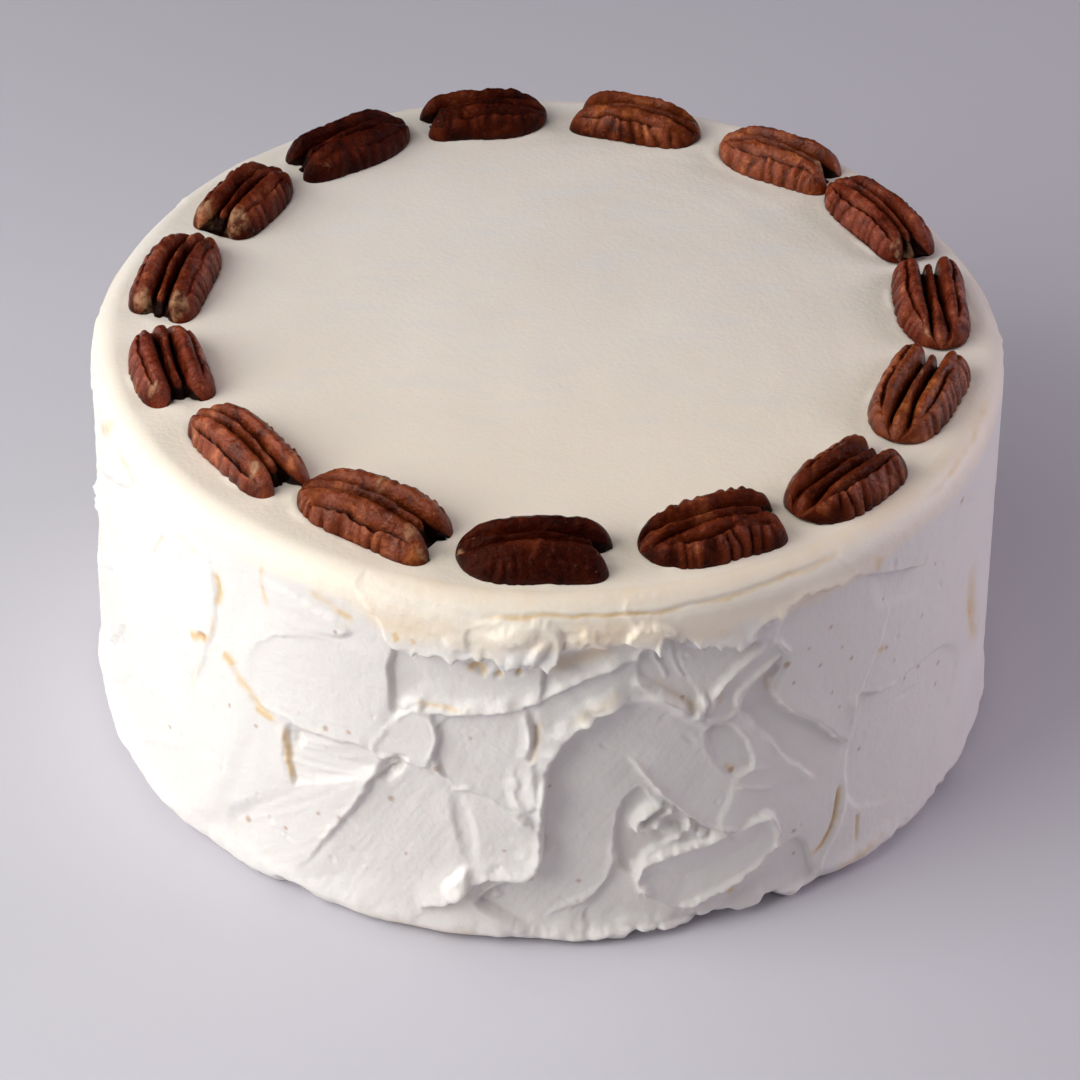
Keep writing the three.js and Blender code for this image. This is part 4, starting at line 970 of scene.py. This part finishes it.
def make_nut(number, material):
    """One half, in the middle of its solid and as high."""
    node = f"pecan_{number + 1:02d}"
    points, fields = nut_shape(number)
    rows, columns = points.shape[:2]
    low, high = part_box(node)
    heading = math.radians(NUTS[number][2])
    placed = points.reshape(-1, 3) @ np.array(Matrix.Rotation(heading, 3, "Z")).T
    placed[:, :2] -= (placed[:, :2].max(0) + placed[:, :2].min(0)) / 2
    placed = placed * MM
    placed[:, :2] += (np.array(low[:2]) + np.array(high[:2])) / 2
    placed[:, 2] += high[2] - placed[:, 2].max()
    piece = new_object(f"pecan_half_{number + 1:02d}", placed, nut_faces(rows, columns))
    work = bmesh.new()
    work.from_mesh(piece.data)
    bmesh.ops.recalc_face_normals(work, faces=work.faces)
    work.to_mesh(piece.data)
    work.free()
    set_fields(piece, {**fields, "orange": np.full(rows * columns, NUT_LOOKS[number][2])})
    piece.data.materials.append(material)
    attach(piece, "root")
    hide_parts(node)


# ---- materials

class Nodes:
    """Short names for the nodes of one material."""

    def __init__(self, name):
        self.material = bpy.data.materials.new(name)
        self.material.use_nodes = True
        self.tree = self.material.node_tree
        self.place = self.add("TexCoord", "Object")

    def fill(self, socket, value):
        """Links a socket to another node's output, or sets it to a number or a colour."""
        if isinstance(value, bpy.types.NodeSocket):
            self.tree.links.new(value, socket)
        else:
            socket.default_value = (*value, 1) if socket.type == "RGBA" else value

    def add(self, kind, output, sockets=(), **settings):
        """An output of a new node, whose sockets and settings are filled in."""
        node = self.tree.nodes.new("ShaderNode" + kind)
        for name, value in settings.items():
            setattr(node, name, value)
        for name, value in dict(sockets).items():
            self.fill(node.inputs[name], value)
        return node.outputs[output]

    def finish(self, sockets):
        """Fills the shader's sockets and gives the material."""
        for name, value in sockets.items():
            self.fill(self.tree.nodes["Principled BSDF"].inputs[name], value)
        return self.material

    def field(self, name):
        return self.add("Attribute", "Fac", attribute_name=name)

    def noise(self, scale, detail=3.0, roughness=0.55):
        sockets = {"Vector": self.place, "Scale": scale, "Detail": detail, "Roughness": roughness}
        return self.add("TexNoise", "Fac", sockets)

    def level(self, source, low, high, to_low=0.0, to_high=1.0):
        """A soft step from to_low, where the source is low, to to_high, where it is high."""
        sockets = {"Value": source, "From Min": low, "From Max": high, "To Min": to_low, "To Max": to_high}
        return self.add("MapRange", "Result", sockets, interpolation_type="SMOOTHSTEP")

    def times(self, first, second):
        return self.add("Math", 0, {0: first, 1: second}, operation="MULTIPLY")

    def larger(self, first, second):
        return self.add("Math", 0, {0: first, 1: second}, operation="MAXIMUM")

    def mix(self, share, first, second):  # sockets 6 and 7 and output 2 are the ones for colours
        return self.add("Mix", 2, {0: share, 6: first, 7: second}, data_type="RGBA")

    def bump(self, height, distance):
        return self.add("Bump", "Normal", {"Height": height, "Distance": distance})


def frosting_material():
    """Cream cheese frosting: satin, light goes a little into it, the top yellower than the side."""
    nodes = Nodes("cream_frosting")
    mix, level, noise, field, times = nodes.mix, nodes.level, nodes.noise, nodes.field, nodes.times
    patches = level(noise(22, 3), 0.35, 0.68)
    side = mix(patches, (0.85, 0.80, 0.765), (0.87, 0.83, 0.795))
    top = mix(patches, (0.88, 0.80, 0.715), (0.905, 0.835, 0.76))
    top = mix(field("warm"), top, (0.975, 0.85, 0.72))
    top = mix(times(field("smear"), 0.45), top, (0.83, 0.80, 0.785))
    colour = mix(field("sheet"), side, top)
    # the band at the front of the rim: cream colour with painted light from above
    colour = mix(field("cream"), colour, (0.96, 0.875, 0.775))
    colour = mix(times(field("butter"), 0.9), colour, (0.80, 0.55, 0.25))
    distance = nodes.add("TexVoronoi", "Distance", {"Vector": nodes.place, "Scale": 95})
    chosen = level(distance.node.outputs["Color"], 0.86, 0.9)  # few of the cells hold a speck
    specks = times(times(level(distance, 0.10, 0.045), chosen), 0.75)
    colour = mix(specks, colour, (0.42, 0.19, 0.07))
    colour = mix(times(field("crumb"), 0.6), colour, (0.45, 0.21, 0.09))
    return nodes.finish({
        "Base Color": colour,
        "Roughness": level(noise(60, 2), 0.3, 0.7, 0.40, 0.54),
        "Subsurface Weight": 0.22,
        "Subsurface Radius": (1.0, 0.7, 0.45),
        "Subsurface Scale": 0.0012,
        "Normal": nodes.bump(noise(900, 4), 0.00012),
    })


# dark spots, plain skin and light spots, on a dark half and then on a light one; each reddish and golden
SKIN_SHADES = [
    ((0.012, 0.0010, 0.0003), (0.013, 0.0015, 0.0003)),
    ((0.038, 0.0033, 0.0009), (0.042, 0.0052, 0.0007)),
    ((0.100, 0.0130, 0.0035), (0.110, 0.0205, 0.0028)),
    ((0.080, 0.0085, 0.0026), (0.088, 0.0120, 0.0022)),
    ((0.245, 0.0345, 0.0110), (0.265, 0.0480, 0.0080)),
    ((0.640, 0.1750, 0.0750), (0.660, 0.1950, 0.0520)),
]
# near-black colour of the painted shade in the creases and on the flat underside
SKIN_PAINTED_SHADE = (0.008, 0.0014, 0.0008)
SKIN_SCAR = (0.46, 0.25, 0.13)


def pecan_material():
    """Pecan skin: brown, with painted shade that makes it almost black in its creases and painted highlight
    on its crests, scraped pale here and there, a little glossy.
    """
    nodes = Nodes("pecan_skin")
    mix, level, noise, field, times = nodes.mix, nodes.level, nodes.noise, nodes.field, nodes.times
    mottle, fine = noise(170, 5, 0.62), noise(750, 4, 0.65)
    orange, light = field("orange"), field("skin_tone_and_painted_highlight")
    shades = [mix(orange, red, golden) for red, golden in SKIN_SHADES]
    # the lighter shades stand for a light half and also for painted highlight on crests and knuckles
    dark_spot, plain, light_spot = (mix(light, low, high) for low, high in zip(shades[:3], shades[3:]))
    skin = mix(level(mottle, 0.3, 0.52), dark_spot, plain)
    skin = mix(level(mottle, 0.52, 0.75), skin, light_spot)
    skin = mix(level(fine, 0.48, 0.32, 0, 0.35), skin, dark_spot)
    skin = mix(level(fine, 0.56, 0.72, 0, 0.3), skin, light_spot)
    # painted shade: the skin goes toward near black in the trough, the furrow and the folds
    skin = mix(level(field("painted_groove_shade"), 0.1, 0.75), skin, SKIN_PAINTED_SHADE)
    scuffs = times(level(noise(420, 5, 0.7), 0.62, 0.74), level(noise(90, 2), 0.42, 0.65))
    scars = times(field("scar"), level(noise(600, 4), 0.34, 0.6, 0.1, 1))
    return nodes.finish({
        "Base Color": mix(nodes.larger(times(scuffs, 0.35), times(scars, 0.7)), skin, SKIN_SCAR),
        "Roughness": level(noise(260, 3), 0.3, 0.7, 0.15, 0.28),
        "Specular IOR Level": level(light, 0.3, 0.95, 0.06, 0.50),
        "Specular Tint": (1.0, 0.76, 0.70),
        "Normal": nodes.bump(noise(420, 5, 0.64), 0.0010),
    })


def floor_material():
    nodes = Nodes("pale_floor")
    colour = nodes.mix(nodes.level(nodes.noise(3, 2), 0.3, 0.7), (0.61, 0.59, 0.645), (0.63, 0.61, 0.665))
    return nodes.finish({"Base Color": colour, "Roughness": 0.7})


# ---- floor, lights and camera

FLOOR_HALF = 3.0  # metres
FLOOR_DROP = 0.0002  # metres, so that the floor and the cake's underside don't lie in one plane
# azimuth and elevation round the cake, distance and size in metres, power in watts, colour
LIGHTS = {
    "key": (-151, 29, 0.8, 0.65, 5.65, (0.98, 1.0, 0.965)),
    "left_fill": (172, 18, 1.3, 0.9, 3.9, (0.98, 1.0, 1.0)),
    "right_fill": (11, 20, 1.3, 0.9, 7.2, (0.98, 0.89, 1.0)),
    "over_left": (-132, 66, 1.2, 0.9, 3.6, (1.0, 0.97, 0.96)),
}
LIGHTS_AIM = Vector((0, 0, 0.05))  # metres
CAMERA_ELEVATION = 37.39
CAMERA_DISTANCE = 913.1
CAMERA_TARGET = (-1.02, 0.0, 32.9)
CAMERA_ROLL = 0.0212  # radians
FOCAL_SHARE = 3805.3 / 1080  # focal length over the frame's width
SENSOR_WIDTH = 36.0


def make_floor():
    corners = FLOOR_HALF * np.array([(-1, -1, 0), (1, -1, 0), (1, 1, 0), (-1, 1, 0)])
    floor = new_object("floor", corners - (0, 0, FLOOR_DROP), [(0, 1, 2, 3)])
    floor.data.materials.append(floor_material())


def make_lights():
    """Square soft lights round the cake, and a faint even glow."""
    for name, (azimuth, elevation, distance, size, power, colour) in LIGHTS.items():
        data = bpy.data.lights.new(name, "AREA")
        data.size, data.energy, data.color = size, power, colour
        light = bpy.data.objects.new(name, data)
        bpy.context.scene.collection.objects.link(light)
        turn, tilt = math.radians(azimuth), math.radians(elevation)
        toward = Vector((math.cos(tilt) * math.cos(turn), math.cos(tilt) * math.sin(turn), math.sin(tilt)))
        light.location = toward * distance + LIGHTS_AIM
        light.rotation_euler = toward.to_track_quat("Z", "Y").to_euler()
    world = bpy.data.worlds.new("studio")
    bpy.context.scene.world = world
    world.use_nodes = True
    background = world.node_tree.nodes["Background"].inputs
    background["Color"].default_value = (0.93, 0.89, 1.0, 1)
    background["Strength"].default_value = 0.06


def make_camera():
    data = bpy.data.cameras.new("camera")
    data.sensor_width, data.lens, data.clip_end = SENSOR_WIDTH, FOCAL_SHARE * SENSOR_WIDTH, 20
    camera = bpy.data.objects.new("camera", data)
    bpy.context.scene.collection.objects.link(camera)
    tilt = math.radians(CAMERA_ELEVATION)
    back, right = Vector((0, -math.cos(tilt), math.sin(tilt))), Vector((1, 0, 0))
    right = math.cos(CAMERA_ROLL) * right + math.sin(CAMERA_ROLL) * back.cross(right)
    camera.matrix_world = Matrix((right, back.cross(right), back)).transposed().to_4x4()
    camera.location = (Vector(CAMERA_TARGET) + back * CAMERA_DISTANCE) * MM
    bpy.context.scene.camera = camera
    bpy.context.scene.view_settings.view_transform = "Standard"


# ---- the scene

make_camera()
make_floor()
make_lights()
make_frosting(frosting_material())
skin = pecan_material()
for number in range(len(NUTS)):
    make_nut(number, skin)

bpy.context.view_layer.update()
